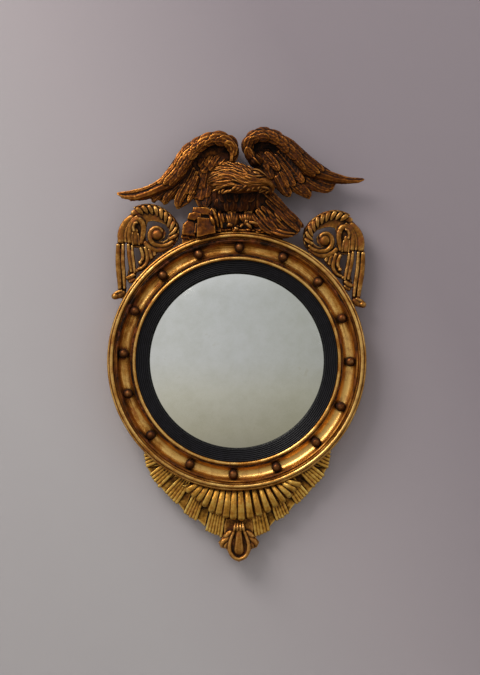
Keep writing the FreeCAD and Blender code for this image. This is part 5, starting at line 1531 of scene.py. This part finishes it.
# ---- stage ----
# Metres: the wall and floor, how far they reach sideways and up, and the floor's near and far ends.
WALL_Y = 0.0008
WALL_REACH = 3.0
FLOOR_Z = -1.3
FLOOR_REACH = 6.0
FLOOR_ENDS = (-8.0, 6.0)
CAMERA_PLACE = (0.0072, -4.558, 0.0533)
LENS = 106.2


def wall_material():
    """Plain distemper, painted darker to the right and towards the top as painted shade; it doesn't show from
    behind.
    """
    material, tree, output = new_material("wall_distemper")
    place = add_node(tree, "ShaderNodeTexCoord").outputs["Object"]
    axes = add_node(tree, "ShaderNodeSeparateXYZ", inputs={"Vector": place})
    # Painted shade: the colour darkens to the right and upwards, standing in for how the light falls across
    # the wall.
    slant = add_node(tree, "ShaderNodeMath", {"operation": "MULTIPLY_ADD"}, {
        0: axes.outputs["Z"], 1: 0.6, 2: axes.outputs["X"]}).outputs[0]
    painted_light_falloff = add_node(tree, "ShaderNodeMapRange", inputs={
        "Value": slant, "From Min": -0.55, "From Max": 0.55})
    tone = add_node(tree, "ShaderNodeValToRGB", inputs={"Fac": painted_light_falloff.outputs[0]}, stops=(
        (0.0, hex_colour("A8A4A6")), (1.0, hex_colour("8B8288")), (0.5, tuple(colours().wall))))
    paint = add_node(tree, "ShaderNodeBsdfDiffuse", inputs={"Color": tone.outputs["Color"]})
    clear = add_node(tree, "ShaderNodeBsdfTransparent")
    behind = add_node(tree, "ShaderNodeNewGeometry").outputs["Backfacing"]
    light_path = add_node(tree, "ShaderNodeLightPath")
    near = add_node(tree, "ShaderNodeMath", {"operation": "LESS_THAN"}, {
        0: light_path.outputs["Ray Length"], 1: 0.03}).outputs[0]
    unseen = add_node(tree, "ShaderNodeMath", {"operation": "MAXIMUM"}, {0: behind, 1: near}).outputs[0]
    mix = add_node(tree, "ShaderNodeMixShader", inputs={0: unseen, 1: paint.outputs[0], 2: clear.outputs[0]})
    tree.links.new(mix.outputs[0], output.inputs["Surface"])
    return material


def floor_material():
    """Plain pale board; mirrors look through it to the room's soft light."""
    material, tree, output = new_material("floor_paint")
    place = add_node(tree, "ShaderNodeTexCoord").outputs["Object"]
    soft = add_node(tree, "ShaderNodeTexNoise", inputs={"Vector": place, "Scale": 1.5}).outputs["Fac"]
    tone = add_node(tree, "ShaderNodeValToRGB", inputs={"Fac": soft}, stops=(
        (0.3, tuple(colours().floor)), (0.7, hex_colour("CFCAC2"))))
    paint = add_node(tree, "ShaderNodeBsdfDiffuse", inputs={"Color": tone.outputs["Color"]})
    clear = add_node(tree, "ShaderNodeBsdfTransparent")
    mirrored_ray = add_node(tree, "ShaderNodeLightPath").outputs["Is Glossy Ray"]
    mix = add_node(tree, "ShaderNodeMixShader", inputs={
        0: mirrored_ray, 1: paint.outputs[0], 2: clear.outputs[0]})
    tree.links.new(mix.outputs[0], output.inputs["Surface"])
    return material


def stage_plane(name, corners, material):
    """A flat piece of the stage, set to its corners."""
    start_alone()
    bpy.ops.mesh.primitive_plane_add(size=2.0)
    plane = bpy.context.active_object
    plane.name = name
    for vertex, place in zip(plane.data.vertices, corners):
        vertex.co = place
    plane.data.materials.append(material)


def area_lamp(name, place, aim, size, power, tint):
    """A soft lamp that faces a point."""
    lamp = bpy.data.lights.new(name, "AREA")
    lamp.shape = "RECTANGLE"
    lamp.size, lamp.size_y = size
    lamp.energy = power
    lamp.color = tint
    holder = bpy.data.objects.new(name, lamp)
    bpy.context.scene.collection.objects.link(holder)
    holder.location = place
    holder.rotation_euler = (Vector(aim) - Vector(place)).to_track_quat("-Z", "Y").to_euler()


def room_light():
    """A pale room: lighter above and to the left, warmer and darker towards the floor."""
    world = bpy.data.worlds.new("pale_room")
    bpy.context.scene.world = world
    world.use_nodes = True
    tree = world.node_tree
    tree.nodes.clear()
    output = add_node(tree, "ShaderNodeOutputWorld")
    heading = add_node(tree, "ShaderNodeTexCoord").outputs["Generated"]
    axes = add_node(tree, "ShaderNodeSeparateXYZ", inputs={"Vector": heading})
    height = add_node(tree, "ShaderNodeMapRange", inputs={
        "Value": axes.outputs["Z"], "From Min": -1.0, "From Max": 1.0})
    upright = add_node(tree, "ShaderNodeValToRGB", inputs={"Fac": height.outputs[0]}, stops=(
        (0.0, hex_colour("4A4032")), (1.0, hex_colour("F4F6FA")), (0.26, hex_colour("A5A192")),
        (0.38, hex_colour("B9B7AE")), (0.5, hex_colour("BFC0C2")), (0.72, hex_colour("C1C3C6"))))
    sideways = add_node(tree, "ShaderNodeMapRange", inputs={
        "Value": axes.outputs["X"], "From Min": -1.0, "From Max": 1.0})
    across = add_node(tree, "ShaderNodeValToRGB", inputs={"Fac": sideways.outputs[0]}, stops=(
        (0.0, (1.0, 1.0, 0.99, 1.0)), (1.0, (0.56, 0.56, 0.54, 1.0)), (0.28, (0.98, 0.975, 0.95, 1.0)),
        (0.5, (0.87, 0.87, 0.86, 1.0)), (0.72, (0.72, 0.72, 0.67, 1.0))))
    tone = add_node(tree, "ShaderNodeMix", {"data_type": "RGBA", "blend_type": "MULTIPLY"}, {
        "Factor": 1.0, 6: upright.outputs["Color"], 7: across.outputs["Color"]})
    sky = add_node(tree, "ShaderNodeBackground", inputs={"Color": tone.outputs[2], "Strength": 1.2})
    tree.links.new(sky.outputs[0], output.inputs["Surface"])


def make_stage():
    """Wall, floor, lamps and the camera at the photograph's place."""
    wall = [(x, WALL_Y, z) for z in (FLOOR_Z, WALL_REACH) for x in (-WALL_REACH, WALL_REACH)]
    floor = [(x, y, FLOOR_Z) for y in FLOOR_ENDS for x in (-FLOOR_REACH, FLOOR_REACH)]
    stage_plane("wall", wall, wall_material())
    stage_plane("floor", floor, floor_material())
    area_lamp("key", (-1.9, -2.0, 2.6), (0, 0, 0.1), (2.2, 1.6), 104.0, (1.0, 0.97, 0.93))
    area_lamp("fill", (2.6, -2.2, 1.2), (0, 0, 0.0), (1.6, 1.6), 8.0, (0.95, 0.97, 1.0))
    area_lamp("back", (-1.2, 2.6, 1.8), (0, 0, 0.0), (1.8, 1.8), 45.0, (1.0, 0.99, 0.97))
    room_light()
    camera = bpy.data.cameras.new("camera")
    camera.lens = LENS
    camera.sensor_width = 36.0
    holder = bpy.data.objects.new("camera", camera)
    bpy.context.scene.collection.objects.link(holder)
    holder.location = CAMERA_PLACE
    holder.rotation_euler = (math.radians(90), 0.0, 0.0)
    bpy.context.scene.camera = holder
    bpy.context.scene.view_settings.view_transform = "Standard"


# ---- operators and panel ----
class MIRROR_OT_stage(bpy.types.Operator):
    """Wall, floor, lamps and camera"""
    bl_idname = "mirror.stage"
    bl_label = "Stage"

    def execute(self, context):
        make_stage()
        return {"FINISHED"}


class MIRROR_OT_ring(bpy.types.Operator):
    """Turn the gilt ring"""
    bl_idname = "mirror.ring"
    bl_label = "Gilt ring"

    def execute(self, context):
        make_ring()
        return {"FINISHED"}


class MIRROR_OT_slip(bpy.types.Operator):
    """Turn the black slip round the glass"""
    bl_idname = "mirror.slip"
    bl_label = "Reeded slip"

    def execute(self, context):
        make_slip()
        return {"FINISHED"}


class MIRROR_OT_glass(bpy.types.Operator):
    """Blow and silver the plate"""
    bl_idname = "mirror.glass"
    bl_label = "Convex glass"

    def execute(self, context):
        make_glass()
        return {"FINISHED"}


class MIRROR_OT_balls(bpy.types.Operator):
    """Set the balls in the cove"""
    bl_idname = "mirror.balls"
    bl_label = "Balls"

    def execute(self, context):
        make_balls()
        return {"FINISHED"}


class MIRROR_OT_left_wing(bpy.types.Operator):
    """Carve the left wing"""
    bl_idname = "mirror.left_wing"
    bl_label = "Left wing"

    def execute(self, context):
        make_left_wing()
        return {"FINISHED"}


class MIRROR_OT_right_wing(bpy.types.Operator):
    """Carve the right wing"""
    bl_idname = "mirror.right_wing"
    bl_label = "Right wing"

    def execute(self, context):
        make_right_wing()
        return {"FINISHED"}


class MIRROR_OT_head(bpy.types.Operator):
    """Carve the head, hackles and beak"""
    bl_idname = "mirror.head"
    bl_label = "Head and neck"

    def execute(self, context):
        make_head()
        return {"FINISHED"}


class MIRROR_OT_body(bpy.types.Operator):
    """Carve the breast between the wings"""
    bl_idname = "mirror.body"
    bl_label = "Body"

    def execute(self, context):
        make_body()
        return {"FINISHED"}


class MIRROR_OT_tail(bpy.types.Operator):
    """Carve the tail's feathers"""
    bl_idname = "mirror.tail"
    bl_label = "Tail"

    def execute(self, context):
        make_tail()
        return {"FINISHED"}


class MIRROR_OT_legs(bpy.types.Operator):
    """Carve legs, toes and claws"""
    bl_idname = "mirror.legs"
    bl_label = "Legs"

    def execute(self, context):
        make_legs()
        return {"FINISHED"}


class MIRROR_OT_rocks(bpy.types.Operator):
    """Carve the rocks and their leaf"""
    bl_idname = "mirror.rocks"
    bl_label = "Rocks"

    def execute(self, context):
        make_rocks()
        return {"FINISHED"}


class MIRROR_OT_scrolls(bpy.types.Operator):
    """Carve both scrolls and their reeds"""
    bl_idname = "mirror.scrolls"
    bl_label = "Scrolls"

    def execute(self, context):
        make_scrolls()
        return {"FINISHED"}


class MIRROR_OT_rays(bpy.types.Operator):
    """Carve the apron's pleated rays"""
    bl_idname = "mirror.rays"
    bl_label = "Rays"

    def execute(self, context):
        make_rays()
        return {"FINISHED"}


class MIRROR_OT_fan(bpy.types.Operator):
    """Carve the apron's fan"""
    bl_idname = "mirror.fan"
    bl_label = "Fan"

    def execute(self, context):
        make_fan()
        return {"FINISHED"}


class MIRROR_OT_drop(bpy.types.Operator):
    """Carve the drop under the fan"""
    bl_idname = "mirror.drop"
    bl_label = "Drop"

    def execute(self, context):
        make_drop()
        return {"FINISHED"}


class MIRROR_OT_kept(bpy.types.Operator):
    """Finish the pieces that keep their shape"""
    bl_idname = "mirror.kept"
    bl_label = "Other pieces"

    def execute(self, context):
        finish_kept_pieces()
        return {"FINISHED"}


STEPS = (
    MIRROR_OT_stage, MIRROR_OT_ring, MIRROR_OT_slip, MIRROR_OT_glass,
    MIRROR_OT_balls, MIRROR_OT_left_wing, MIRROR_OT_right_wing, MIRROR_OT_head,
    MIRROR_OT_body, MIRROR_OT_tail, MIRROR_OT_legs, MIRROR_OT_rocks,
    MIRROR_OT_scrolls, MIRROR_OT_rays, MIRROR_OT_fan, MIRROR_OT_drop,
    MIRROR_OT_kept,
)


class MIRROR_PT_making(bpy.types.Panel):
    """The steps that make the mirror, in order."""
    bl_label = "Girandole mirror"
    bl_idname = "MIRROR_PT_making"
    bl_space_type = "VIEW_3D"
    bl_region_type = "UI"
    bl_category = "Mirror"

    def draw(self, context):
        for item in STEPS:
            self.layout.operator(item.bl_idname)


GROUPS = (("mirror_turned", TurnedSizes), ("mirror_carving", CarvingSizes), ("mirror_colours", FinishColours))


def register():
    for name, group in GROUPS:
        bpy.utils.register_class(group)
        setattr(bpy.types.Scene, name, bpy.props.PointerProperty(type=group))
    for item in STEPS:
        bpy.utils.register_class(item)
    bpy.utils.register_class(MIRROR_PT_making)


def unregister():
    bpy.utils.unregister_class(MIRROR_PT_making)
    for item in reversed(STEPS):
        bpy.utils.unregister_class(item)
    for name, group in reversed(GROUPS):
        delattr(bpy.types.Scene, name)
        bpy.utils.unregister_class(group)


def main():
    register()
    for item in STEPS:
        getattr(bpy.ops.mirror, item.bl_idname.split(".")[1])()


if __name__ == "__main__":
    main()
